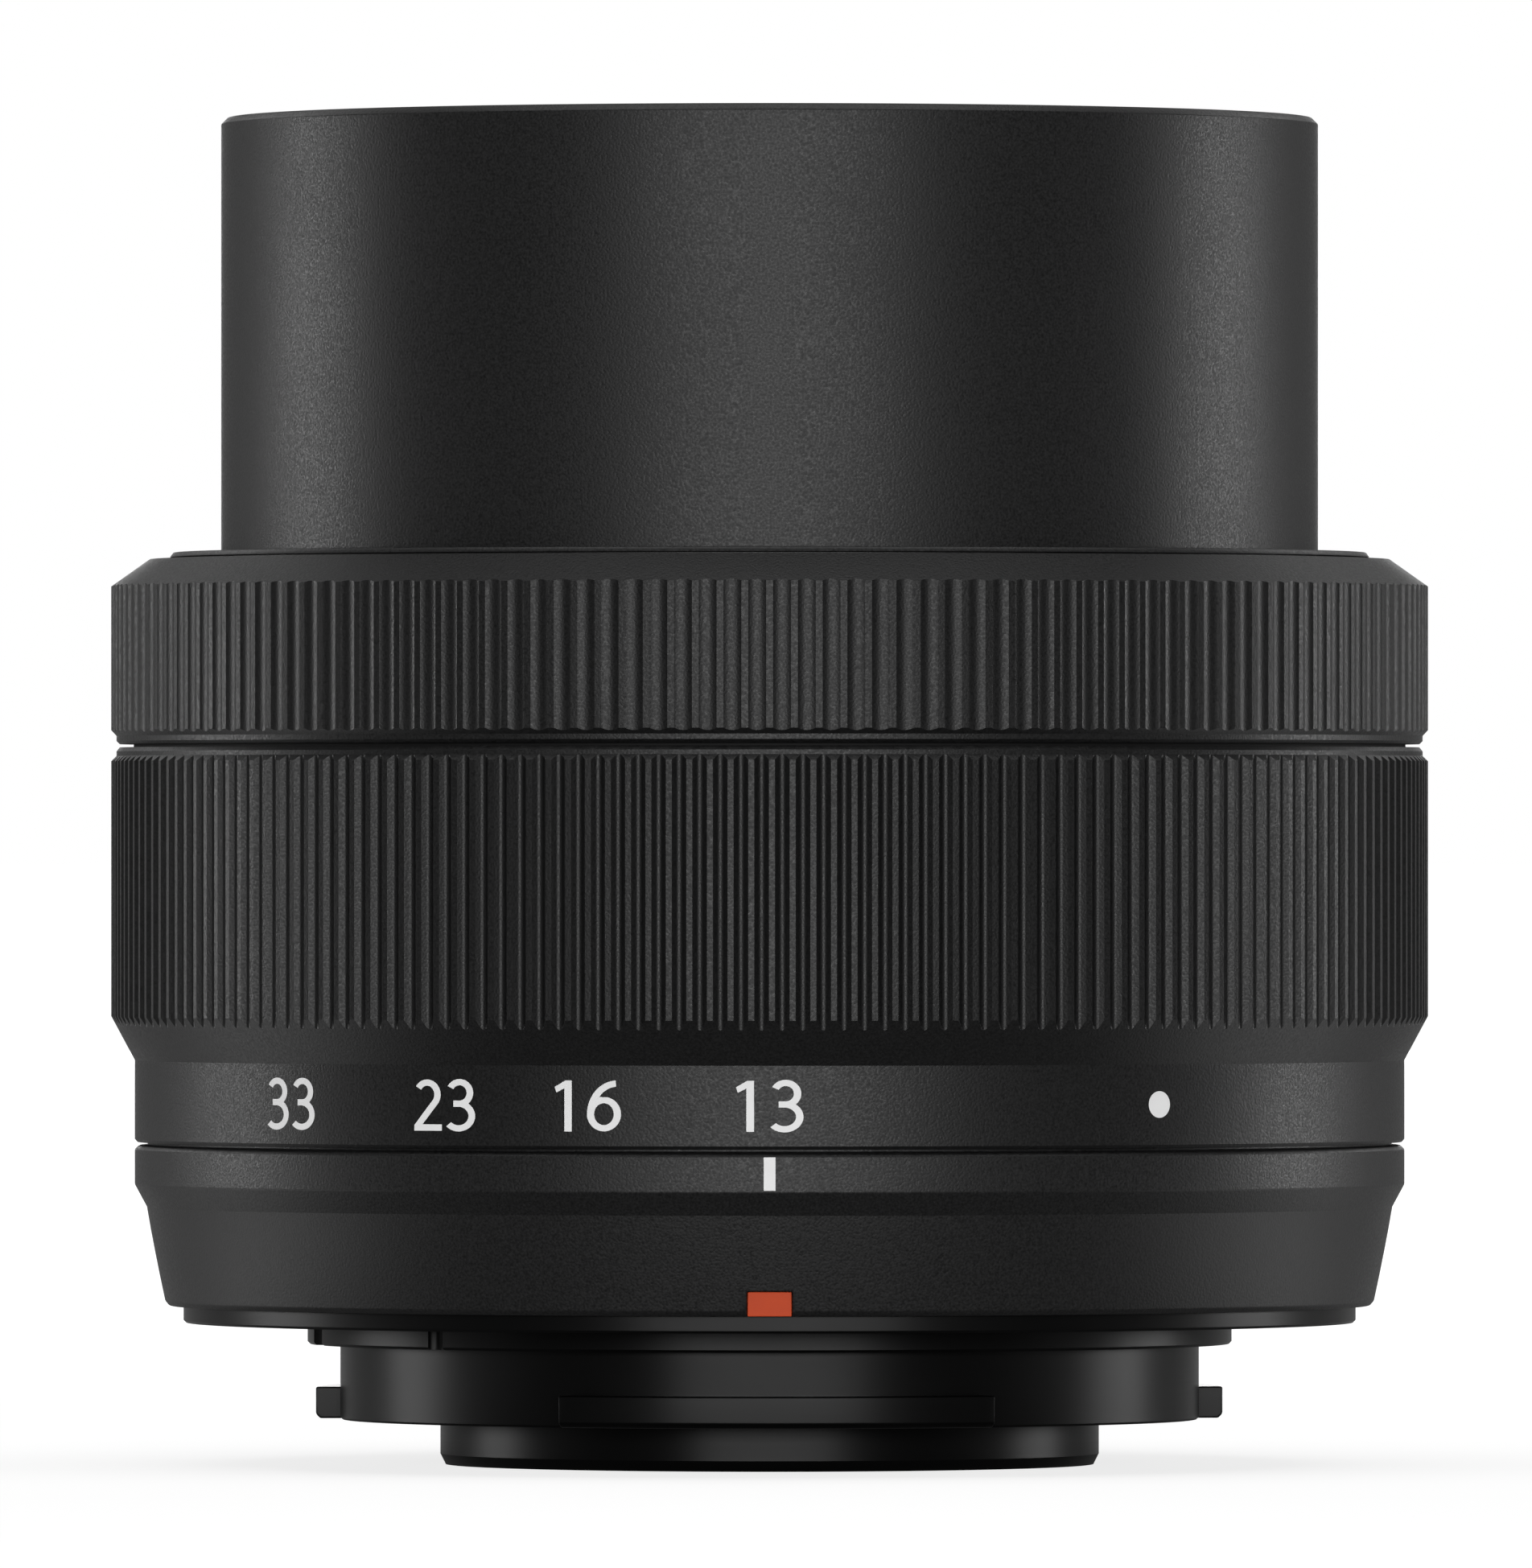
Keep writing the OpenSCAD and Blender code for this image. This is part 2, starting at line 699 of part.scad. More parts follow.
module rod_plate() {
  color(metal)
    difference() {
      ring(rod_pcd_r - 1.3, frame_wall_r - 1.1, rod_plate_z, rod_plate_z + rod_plate_t);
      for (a = rod_turn)
        at(a, rod_pcd_r, rod_plate_z - 1)
          cylinder(r = rod_r + seat_gap, h = 3);
      at(screw_turn, rod_pcd_r, rod_plate_z - 1)
        cylinder(r = lead_r + lead_gap, h = 3);
    }
}

module guide_rods() {
  color(metal)
    for (a = rod_turn)
      at(a, rod_pcd_r, frame_floor_z + 0.4)
        cylinder(r = rod_r, h = rod_plate_z + rod_plate_t - frame_floor_z - 0.6);
}

module focus_motor() {
  color(metal)
    at(screw_turn, rod_pcd_r, frame_floor_z - motor_h)
      difference() {
        cylinder(r = motor_r, h = motor_h);
        translate([0, 0, motor_h - 1.6])
          cylinder(r = lead_r + lead_gap, h = 3);
      }
}

module lead_screw() {
  color(metal)
    at(screw_turn, rod_pcd_r, frame_floor_z - 1.4)
      difference() {
        cylinder(r = lead_r, h = rod_plate_z + rod_plate_t - 0.2 - frame_floor_z + 1.4);
        translate([0.35, -1, -1])
          cube([2, 2, 1.8]);
      }
}

module lens_9() {
  color(glass)
    element(rear_lens_r, lens_9_z, lens_9_top, -0.46, rear_lens_r - 0.6, 1, rear_lens_r - 1);
}

module lens_10() {
  color(glass)
    element(rear_lens_r, lens_10_z, lens_9_z, -1.21, rear_lens_r - 0.8, -0.44, rear_lens_r - 1.4);
}

module rear_retainer() {
  color(black)
    ring(rear_lens_r - 1, rear_lens_r, rear_cell_end + 0.1, lens_10_z);
}

module focus_carriage() {
  color(dark)
    difference() {
      union() {
        ring(focus_lens_r - 0.6, focus_cell_r, 0, 2.8);
        for (a = concat(rod_turn, [screw_turn])) {
          at(a, rod_pcd_r, arm_z)
            cylinder(r = nut_flange_r, h = arm_t);
          straight_slot(a, 2.4, focus_cell_r - 0.5, rod_pcd_r, arm_z, arm_z + arm_t);
        }
      }
      translate([0, 0, 0.8])
        cylinder(r = focus_lens_r + seat_gap, h = 4);
      for (a = rod_turn)
        at(a, rod_pcd_r, arm_z - 1)
          cylinder(r = rod_r + lead_gap, h = 4);
      at(screw_turn, rod_pcd_r, arm_z - 1)
        cylinder(r = nut_r + seat_gap, h = 4);
    }
}

module lens_8() {
  color(glass)
    element(focus_lens_r, 0.8, 2, 0.57, focus_lens_r - 0.8, -0.66, focus_lens_r - 1);
}

module focus_retainer() {
  color(black)
    ring(focus_lens_r - 0.75, focus_lens_r, 2, 2.6);
}

module focus_nut() {
  color(gold)
    at(screw_turn, rod_pcd_r)
      difference() {
        union() {
          translate([0, 0, arm_z - 0.2])
            cylinder(r = nut_r, h = arm_t + 0.3);
          translate([0, 0, arm_z + arm_t])
            cylinder(r = nut_flange_r, h = nut_flange_t);
        }
        cylinder(r = lead_r + lead_gap, h = 5);
      }
}

module focus_ring() {
  strip_r = focus_bore_r + 0.2;
  color(black)
    intersection() {
      rotate_extrude()
        polygon([
          [lip_bore_r, focus_z], [mouth_r, focus_z], [lip_r, focus_z + 0.15], [lip_r, focus_z + 0.39],
          [grip_r, focus_grip_z], [grip_r, focus_grip_top], [cover_r + 0.94, focus_top], [cover_r - 0.25, focus_top],
          [cover_r - 0.25, web_z], [focus_bore_r, web_z], [focus_bore_r, web_z - 1.8], [strip_r, web_z - 1.8],
          [strip_r, divider_top + 1.4], [focus_bore_r, divider_top + 1.4], [focus_bore_r, divider_top + 0.1],
          [lip_bore_r, divider_top + 0.1]
        ]);
      translate([0, 0, focus_z - 1])
        linear_extrude(height = focus_ring_h + 2)
          fluted_disc(grip_r, focus_flutes, focus_flute_w, focus_flute_depth);
    }
}

module code_strip() {
  color(metal)
    ring(focus_bore_r + 0.1, focus_bore_r + 0.2, divider_top + 1.4, web_z - 1.8);
}

module extension_sleeve() {
  color(metal)
    difference() {
      rotate_extrude()
        polygon([
          [guide_bore_r + 0.1, plate_z], [sleeve_r, plate_z], [sleeve_r, sleeve_top], [sleeve_bore_r, sleeve_top],
          [sleeve_bore_r, foot_z], [guide_bore_r + 0.1, foot_z]
        ]);
      for (a = pin_turn)
        helical_slot(a + extend_angle, extend_angle, barrel_travel, pin_r, sleeve_bore_r, sleeve_r, pin_low);
      for (a = key_turn)
        arc(sleeve_bore_r - 1, sleeve_r + 1, key_z - 0.2, key_z + key_t + 0.2, a - key_half, a + zoom_angle + key_half);
      for (i = [0 : 2])
        at(60 + i * 120, screw_pcd_r, plate_z - 1) {
          cylinder(r = small_head_r + 0.1, h = 1.4);
          cylinder(r = small_screw_r + 0.1, h = 3);
        }
    }
}

module guide_sleeve() {
  slot_w = 2 * (zoom_pin_r + slot_gap);
  color(metal)
    difference() {
      rotate_extrude()
        polygon([
          [guide_bore_r, foot_z], [sleeve_bore_r - 0.3, foot_z], [sleeve_bore_r - 0.3, foot_z + foot_t],
          [guide_r, foot_z + foot_t], [guide_r, tube_top], [guide_bore_r, tube_top]
        ]);
      for (a = zoom_pin_turn)
        straight_slot(a, slot_w, guide_bore_r - 1, guide_r + 1, zoom_pin_z - zoom_pin_r - 0.2,
          zoom_pin_z + zoom_travel + zoom_pin_r + 0.2);
      for (i = [0 : 2])
        at(60 + i * 120, screw_pcd_r, foot_z - 1)
          cylinder(r = small_screw_r + seat_gap, h = 3);
    }
}

module sleeve_screws() {
  color(metal)
    for (i = [0 : 2])
      at(60 + i * 120, screw_pcd_r, plate_z + 0.4)
        screw_up(small_head_r, 0.35, small_screw_r, 0.4 + foot_t - 0.05);
}

module zoom_ring() {
  color(black)
    difference() {
      intersection() {
        rotate_extrude()
          polygon([
            [band_r - 0.49, zoom_z], [band_r - 0.12, zoom_z], [band_r, zoom_z + 0.14], [band_r, scale_top],
            [grip_r, zoom_grip_z], [grip_r, zoom_grip_top], [lip_r, zoom_top - 0.4], [lip_r, zoom_top - 0.19],
            [mouth_r, zoom_top], [lip_bore_r, zoom_top], [lip_bore_r, divider_z - 0.1],
            [zoom_bore_r, divider_z - 0.1], [zoom_bore_r, zoom_z + 0.56], [band_r - 0.49, zoom_z + 0.56]
          ]);
        translate([0, 0, zoom_z - 1])
          linear_extrude(height = zoom_ring_h + 2)
            rotate(0.2)
              fluted_disc(grip_r, zoom_flutes, zoom_flute_w, zoom_flute_depth);
      }
      for (a = key_turn)
        straight_slot(a, key_w + 2 * seat_gap, zoom_bore_r - 1, band_r - 0.44, key_z - seat_gap,
          key_z + key_t + seat_gap);
    }
}

module cam_tube() {
  color(metal)
    difference() {
      rotate_extrude()
        polygon([
          [cam_bore_r, cam_foot_z], [sleeve_bore_r - 0.25, cam_foot_z], [sleeve_bore_r - 0.25, key_z],
          [cam_r, key_z], [cam_r, tube_top], [cam_bore_r, tube_top]
        ]);
      for (a = zoom_pin_turn)
        helical_slot(a, zoom_angle, zoom_travel, zoom_pin_r, cam_bore_r, cam_r, zoom_pin_z);
    }
}

module drive_keys() {
  color(metal)
    for (a = key_turn)
      intersection() {
        straight_slot(a, key_w, cam_r + 0.2, band_r, key_z, key_z + key_t);
        cylinder(r = band_r - 0.46, h = zoom_top);
      }
}

module zoom_cell() {
  color(black)
    difference() {
      rotate_extrude()
        polygon([
          [iris_chamber_r, cell_body_z], [cell_body_r, cell_body_z], [cell_body_r, zoom_pin_z - 0.7],
          [rim_in_r, zoom_pin_z - 0.7], [rim_in_r, rim_z], [group_r, rim_z], [group_r, rim_z + rim_t],
          [rim_in_r, rim_z + rim_t], [rim_in_r, zoom_pin_z + 0.7], [cell_body_r, zoom_pin_z + 0.7],
          [cell_body_r, cell_body_top], [lens_4_r + seat_gap, cell_body_top], [lens_4_r + seat_gap, lens_4_z],
          [lens_5_r + seat_gap, lens_4_z], [lens_5_r + seat_gap, lens_5_z], [lens_5_r - 0.6, lens_5_z],
          [lens_5_r - 0.6, iris_roof_z], [iris_chamber_r, iris_roof_z]
        ]);
      for (a = zoom_pin_turn)
        radial_pin(a, zoom_pin_r + seat_gap, rim_in_r + 0.3, group_r + 1, zoom_pin_z);
      for (i = [0 : 2])
        at(60 + i * 120, (cell_body_r + rim_in_r) / 2, zoom_pin_z - 2)
          cylinder(r = (rim_in_r - cell_body_r) / 2 - 1.3, h = 4);
    }
}

module zoom_rear_cell() {
  color(black)
    rotate_extrude()
      polygon([
        [lens_6_r - 0.5, rear_tube_z], [rear_tube_r, rear_tube_z], [rear_tube_r, cell_body_z - 0.5],
        [cell_body_r, cell_body_z - 0.5], [cell_body_r, cell_body_z], [lens_6_r + seat_gap, cell_body_z],
        [lens_6_r + seat_gap, lens_7_z], [lens_6_r - 0.5, lens_7_z]
      ]);
}

module zoom_pins() {
  color(gold)
    for (a = zoom_pin_turn)
      radial_pin(a, zoom_pin_r, rim_in_r + 0.3, cam_r - 0.15, zoom_pin_z);
}

module lens_4() {
  color(glass)
    element(lens_4_r, lens_4_z, lens_4_z + 1.2, 1.5, lens_4_r - 0.6, -0.69, lens_4_r - 1.2);
}

module lens_5() {
  color(glass)
    element(lens_5_r, lens_5_z, lens_5_z + 1.1, 0.43, lens_5_r - 0.6, -0.86, lens_5_r - 1.3);
}

module lens_6() {
  color(glass)
    element(lens_6_r, lens_6_z, lens_6_z + 1, -0.67, lens_6_r - 0.7, 1.21, lens_6_r - 0.5);
}

module lens_7() {
  color(glass)
    element(lens_6_r, lens_7_z, lens_6_z, -1.42, lens_6_r - 0.4, 0.44, lens_6_r - 0.7);
}

module zoom_retainers() {
  color(dark) {
    ring(lens_4_r - 0.6, lens_4_r, lens_4_z + 1.2, lens_4_z + 1.8);
    ring(lens_6_r - 0.6, lens_6_r, lens_6_z + 1, cell_body_z);
  }
}

module iris_plate() {
  color(dark)
    difference() {
      ring(iris_open_r + 0.2, iris_chamber_r - 0.05, iris_z, iris_z + iris_plate_t);
      for (i = [0 : blade_count - 1])
        at(i * 360 / blade_count, blade_pivot_r, iris_z - 1)
          cylinder(r = blade_pin_r + blade_pin_gap, h = 3);
    }
}

module iris_ring() {
  color(metal)
    difference() {
      ring(iris_open_r + 0.6, iris_chamber_r - 0.08, iris_ring_z, iris_ring_z + iris_ring_t);
      for (i = [0 : blade_count - 1])
        at(i * 360 / blade_count, blade_drive_r, iris_ring_z - 1) {
          cylinder(r = blade_pin_r + blade_pin_gap, h = 3);
          translate([0, 0.15, 0])
            cylinder(r = blade_pin_r + blade_pin_gap, h = 3);
        }
    }
}

// the crescent of a blade folded back round the opening, its pivot on +X
module blade_crescent() {
  intersection() {
    difference() {
      circle(r = blade_out_r);
      circle(r = iris_open_r);
    }
    polygon(concat([[0, 0]], [for (k = [0 : 4]) 20 * [cos(k * blade_sweep / 4), sin(k * blade_sweep / 4)]]));
  }
  translate([blade_out_r - 0.35, 0.5])
    circle(r = 0.8);
}

module iris_blade(i) {
  z = blade_z + (i - 1) * blade_step;
  color(dark)
    rotate([0, 0, (i - 1) * 360 / blade_count - 90]) {
      translate([0, 0, z])
        linear_extrude(height = blade_t) {
          translate([blade_pivot_r, 0])
            rotate(blade_swing)
              translate([-blade_pivot_r, 0])
                blade_crescent();
          translate([blade_pivot_r, 0])
            circle(r = blade_eye_r);
          translate([blade_pivot_r, -blade_tail_w / 2])
            square([blade_drive_r - blade_pivot_r, blade_tail_w]);
          translate([blade_drive_r, 0])
            circle(r = blade_tail_w / 2);
        }
      translate([blade_pivot_r, 0, iris_z + 0.05])
        cylinder(r = blade_pin_r, h = z - iris_z);
      translate([blade_drive_r, 0, z])
        cylinder(r = blade_pin_r, h = iris_ring_z + iris_ring_t - 0.05 - z);
    }
}

module front_barrel() {
  color(black)
    difference() {
      rotate_extrude()
        polygon([
          [barrel_bore_r, barrel_z], [collar_r, barrel_z], [collar_r, pin_z + 1.7], [barrel_r, pin_z + 1.7],
          [barrel_r, barrel_top - 0.3], [barrel_r - 0.3, barrel_top], [filter_r + 0.4, barrel_top],
          [filter_r, barrel_top - 0.4], [filter_r, thread_z], [seat_r, thread_z],
          [seat_r, cell_flange_z], [cell_r + 0.2, cell_flange_z],
          [cell_r + 0.2, cell_flange_z - 1.2], [barrel_bore_r, cell_flange_z - 1.2]
        ]);
      for (a = pin_turn)
        radial_pin(a, pin_r + seat_gap, pin_in_r, collar_r + 1, pin_z);
    }
}

module barrel_pins() {
  color(gold)
    for (a = pin_turn)
      radial_pin(a, pin_r, pin_in_r, pin_out_r, pin_z);
}

module front_cell() {
  color(black)
    rotate_extrude()
      polygon([
        [lens_3_r - 0.8, cell_z], [cell_r, cell_z], [cell_r, cell_flange_z], [seat_r - 0.1, cell_flange_z],
        [seat_r - 0.1, cell_flange_z + cell_flange_t], [cell_r - 1.4, cell_flange_z + cell_flange_t],
        [cell_r - 1.4, lens_1_top + 0.6], [lens_1_r + seat_gap, lens_1_top + 0.6], [lens_1_r + seat_gap, lens_1_z],
        [lens_2_r + seat_gap, lens_1_z], [lens_2_r + seat_gap, lens_2_z], [lens_3_r + seat_gap, lens_2_z],
        [lens_3_r + seat_gap, lens_3_z], [lens_3_r - 0.8, lens_3_z]
      ]);
}

module lens_1() {
  color(glass)
    element(lens_1_r, lens_1_z, lens_1_top, 3, lens_1_r - 0.9, -6.27, lens_2_r - 0.2);
}

module lens_2() {
  color(glass)
    element(lens_2_r, lens_2_z, lens_2_top, 2.09, lens_2_r - 1.4, -2.16, lens_2_r - 2.9);
}

module lens_3() {
  color(glass)
    element(lens_3_r, lens_3_z, lens_3_top, 2, lens_3_r - 0.8, -0.68, lens_3_r - 1.6);
}

// the dished ring that hides the front cell
module front_bezel() {
  color(black)
    rotate_extrude()
      polygon([
        [lens_1_r - 0.6, lens_1_top + 0.75], [cell_r - 1.5, lens_1_top + 0.75], [cell_r - 1.5, bezel_z],
        [seat_r - 0.05, bezel_z], [seat_r - 0.05, bezel_top], [seat_r - 0.8, bezel_top],
        [lens_1_r - 0.6, lens_1_top + 1.6]
      ]);
}

// the ring on the first element and the spacer behind it
module front_retainers() {
  color(dark) {
    ring(lens_1_r - 0.8, lens_1_r, lens_1_top, lens_1_top + 0.6);
    ring(lens_2_r - 1.2, lens_2_r, lens_2_top, lens_1_z);
  }
}

bayonet_mount();
mount_screws();
rear_baffle();
contact_block();
contact_pins();
base_shell();
alignment_mark();
fixed_barrel();
front_cover_ring();
felt_seal();
main_board();
board_chips();
inner_screws();
flex_cable();
rear_frame();
rod_plate();
guide_rods();
focus_motor();
lens_9();
lens_10();
rear_retainer();
ring_sensor();
lead_screw();
focus_carriage();
lens_8();
focus_retainer();
focus_nut();
focus_ring();
code_strip();
extension_sleeve();
guide_sleeve();
sleeve_screws();
zoom_ring();
cam_tube();
drive_keys();
zoom_cell();
zoom_rear_cell();
zoom_pins();
lens_4();
lens_5();
lens_6();
lens_7();
zoom_retainers();
iris_plate();
iris_ring();
iris_blade(1);  // iris_blade_1
iris_blade(2);  // iris_blade_2
iris_blade(3);  // iris_blade_3
iris_blade(4);  // iris_blade_4
iris_blade(5);  // iris_blade_5
iris_blade(6);  // iris_blade_6
iris_blade(7);  // iris_blade_7
front_barrel();
barrel_pins();
front_cell();
lens_1();
lens_2();
lens_3();
front_bezel();
front_retainers();
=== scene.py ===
"""Looks of a compact retractable zoom lens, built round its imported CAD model."""

import json
from math import acos, atan2, cos, hypot, pi, radians, sin, sqrt, tan

import bpy
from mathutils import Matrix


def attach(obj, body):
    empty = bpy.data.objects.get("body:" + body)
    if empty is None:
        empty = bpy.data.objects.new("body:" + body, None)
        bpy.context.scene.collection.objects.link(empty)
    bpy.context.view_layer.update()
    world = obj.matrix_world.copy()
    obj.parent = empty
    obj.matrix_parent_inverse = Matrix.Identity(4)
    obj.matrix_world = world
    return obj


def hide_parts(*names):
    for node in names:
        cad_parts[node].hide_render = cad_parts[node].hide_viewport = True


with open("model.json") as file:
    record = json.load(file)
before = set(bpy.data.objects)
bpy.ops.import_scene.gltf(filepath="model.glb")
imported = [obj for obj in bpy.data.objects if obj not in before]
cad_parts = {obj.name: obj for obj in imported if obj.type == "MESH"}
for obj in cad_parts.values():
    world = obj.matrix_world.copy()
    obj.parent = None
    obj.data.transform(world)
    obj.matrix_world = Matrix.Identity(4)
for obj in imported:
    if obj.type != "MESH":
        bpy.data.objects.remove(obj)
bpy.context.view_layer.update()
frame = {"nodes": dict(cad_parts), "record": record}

MM = 0.001          # pieces are drawn in millimetres and brought to metres at the end
ROUND_STEPS = 256   # facets round a large ring
LENS_STEPS = 128    # facets round a lens element
LENS_BEVEL = 0.1    # chamfer on the rim of a lens element

# radii and heights of the CAD model, in mm from the mount's bearing face
SPIGOT_R = 21.72
BAYONET_R = 20.18
LUG_R = 21.34
BAYONET_END = -4.55
BAFFLE_R = 15.48
BAFFLE_END = -6.66
MOUNT_BORE_R = 18.6
SCREW_RING_R = 24.4
BAND_R = 29.84
GRIP_R = 30.95
BARREL_R = 25.78
BARREL_TOP = 56.6
FILTER_R = 24.1
FOOT_R = 28.41
FLANGE_R = 27.55
FLANGE_T = 0.8
BOSS_TOP = 2.2      # top of the mount's boss inside the shell


# modelling by hand

def clear():
    """Leaves edit mode and lets go of everything that is selected."""
    if bpy.context.object and bpy.context.object.mode != "OBJECT":
        bpy.ops.object.mode_set(mode="OBJECT")
    bpy.ops.object.select_all(action="DESELECT")


def hold(*pieces):
    """Selects these pieces alone, the last one active."""
    clear()
    for piece in pieces:
        piece.select_set(True)
        bpy.context.view_layer.objects.active = piece


def named(name):
    """Names the piece that was just added."""
    piece = bpy.context.object
    piece.name = name
    piece.data.name = name
    return piece


def edit(piece, how="VERT"):
    """Opens a piece in edit mode, to work on its corners, edges or faces."""
    hold(piece)
    bpy.ops.object.mode_set(mode="EDIT")
    bpy.ops.mesh.select_mode(type=how)


def tidy_mesh(merge=0.0004):
    """In edit mode: welds doubles and turns all faces outwards."""
    bpy.ops.mesh.select_all(action="SELECT")
    bpy.ops.mesh.remove_doubles(threshold=merge)
    bpy.ops.mesh.normals_make_consistent(inside=False)


def draw(name, corners, turn=0.0, close=True):
    """Draws a section corner by corner on the half plane at a turn, from one vertex."""
    clear()
    bpy.ops.mesh.primitive_plane_add(size=1)
    piece = named(name)
    edit(piece)
    bpy.ops.mesh.select_all(action="SELECT")
    bpy.ops.mesh.merge(type="CENTER")
    path = list(corners) + ([corners[0]] if close else [])
    r, z = path[0]
    bpy.ops.transform.translate(value=(r * cos(turn), r * sin(turn), z))
    for r1, z1 in path[1:]:
        step = ((r1 - r) * cos(turn), (r1 - r) * sin(turn), z1 - z)
        bpy.ops.mesh.extrude_region_move(TRANSFORM_OT_translate={"value": step})
        r, z = r1, z1
    tidy_mesh()
    return piece


def turned(name, corners, steps=ROUND_STEPS, close=True):
    """A ring or a solid of revolution on the lens axis."""
    piece = draw(name, corners, close=close)
    bpy.ops.mesh.select_all(action="SELECT")
    bpy.ops.mesh.spin(steps=steps, angle=2 * pi, center=(0, 0, 0), axis=(0, 0, 1))
    tidy_mesh()
    clear()
    return piece


def sector(name, corners, start, sweep, steps):
    """Part of a ring with closed ends. Angles run from +X, in radians."""
    piece = draw(name, corners, start)
    bpy.ops.mesh.select_all(action="SELECT")
    bpy.ops.mesh.spin(steps=steps, angle=-sweep, center=(0, 0, 0), axis=(0, 0, 1))
    bpy.ops.mesh.select_all(action="SELECT")
    bpy.ops.mesh.fill_holes(sides=0)
    tidy_mesh()
    clear()
    return piece


def rod(name, r, z0, z1, x=0.0, y=0.0, sides=48):
    """A cylinder along Z, used as a cutter or as the start of a piece."""
    clear()
    middle = (x, y, (z0 + z1) / 2)
    bpy.ops.mesh.primitive_cylinder_add(vertices=sides, radius=r, depth=z1 - z0, location=middle)
    piece = named(name)
    bpy.ops.object.transform_apply(location=True)
    return piece


def block(name, size, centre, turn=0.0):
    """A box, turned about the lens axis after it is placed."""
    clear()
    x, y, z = centre
    place = (x * cos(turn) - y * sin(turn), x * sin(turn) + y * cos(turn), z)
    bpy.ops.mesh.primitive_cube_add(size=1, location=place, rotation=(0, 0, turn), scale=size)
    piece = named(name)
    bpy.ops.object.transform_apply(location=True, rotation=True, scale=True)
    return piece


def apply(piece, kind, **settings):
    """Adds a modifier with these settings and applies it."""
    hold(piece)
    modifier = piece.modifiers.new(kind.lower(), kind)
    for key, value in settings.items():
        setattr(modifier, key, value)
    bpy.ops.object.modifier_apply(modifier=modifier.name)


def combine(piece, tool, operation="DIFFERENCE"):
    """Cuts a tool out of a piece, or adds it, and throws the tool away."""
    apply(piece, "BOOLEAN", operation=operation, solver="EXACT", object=tool)
    hold(tool)
    bpy.ops.object.delete()


def soften(piece, width, angle=24, segments=2):
    """Rounds the edges that a finger would feel."""
    apply(piece, "BEVEL", width=width, segments=segments, limit_method="ANGLE",
          angle_limit=radians(angle), harden_normals=False, miter_outer="MITER_SHARP")


def joined(name, pieces):
    """Makes one piece of several."""
    hold(*pieces)
    bpy.ops.object.join()
    return named(name)


def azimuth(turn):
    """Turn from the index line towards +X, in degrees, as an angle from +X."""
    return radians(turn - 90)


def on_ring(turn, r):
    """The point at a turn from the index line on a circle round the axis."""
    return r * cos(azimuth(turn)), r * sin(azimuth(turn))


def bore(piece, name, turn, ring_r, r, low, top, sides=48):
    """Drills a round hole along Z at a turn from the index line."""
    x, y = on_ring(turn, ring_r)
    combine(piece, rod(name, r, low, top, x, y, sides))


def shifted(piece, x, y):
    """Moves a piece off the lens axis."""
    hold(piece)
    bpy.ops.transform.translate(value=(x, y, 0))
    bpy.ops.object.transform_apply(location=True)
    return piece


def dress(piece, finish, body, slot, *nodes, smooth=26):
    """Brings a piece to metres, gives it its finish and sets it on its body."""
    hold(piece)
    piece.scale = (MM, MM, MM)
    bpy.ops.object.transform_apply(location=True, rotation=True, scale=True)
    bpy.ops.object.shade_smooth_by_angle(angle=radians(smooth))
    apply(piece, "WEIGHTED_NORMAL", mode="FACE_AREA", weight=60, keep_sharp=True)
    piece.data.materials.clear()
    piece.data.materials.append(finish)
    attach(piece, body)
    if nodes:
        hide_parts(*nodes)
    clear()


# finishes

class Value:
    """A number on a surface. It takes part in Python sums, which add Math nodes."""

    def __init__(self, finish, socket):
        self.finish = finish
        self.socket = socket

    def maths(self, operation, other):
        return self.finish.node("ShaderNodeMath", {"operation": operation}, {0: self, 1: other})

    def __add__(self, other):
        return self.maths("ADD", other)

    __radd__ = __add__

    def __mul__(self, other):
        return self.maths("MULTIPLY", other)

    def or_more(self, other):
        """The larger of the two."""
        return self.maths("MAXIMUM", other)


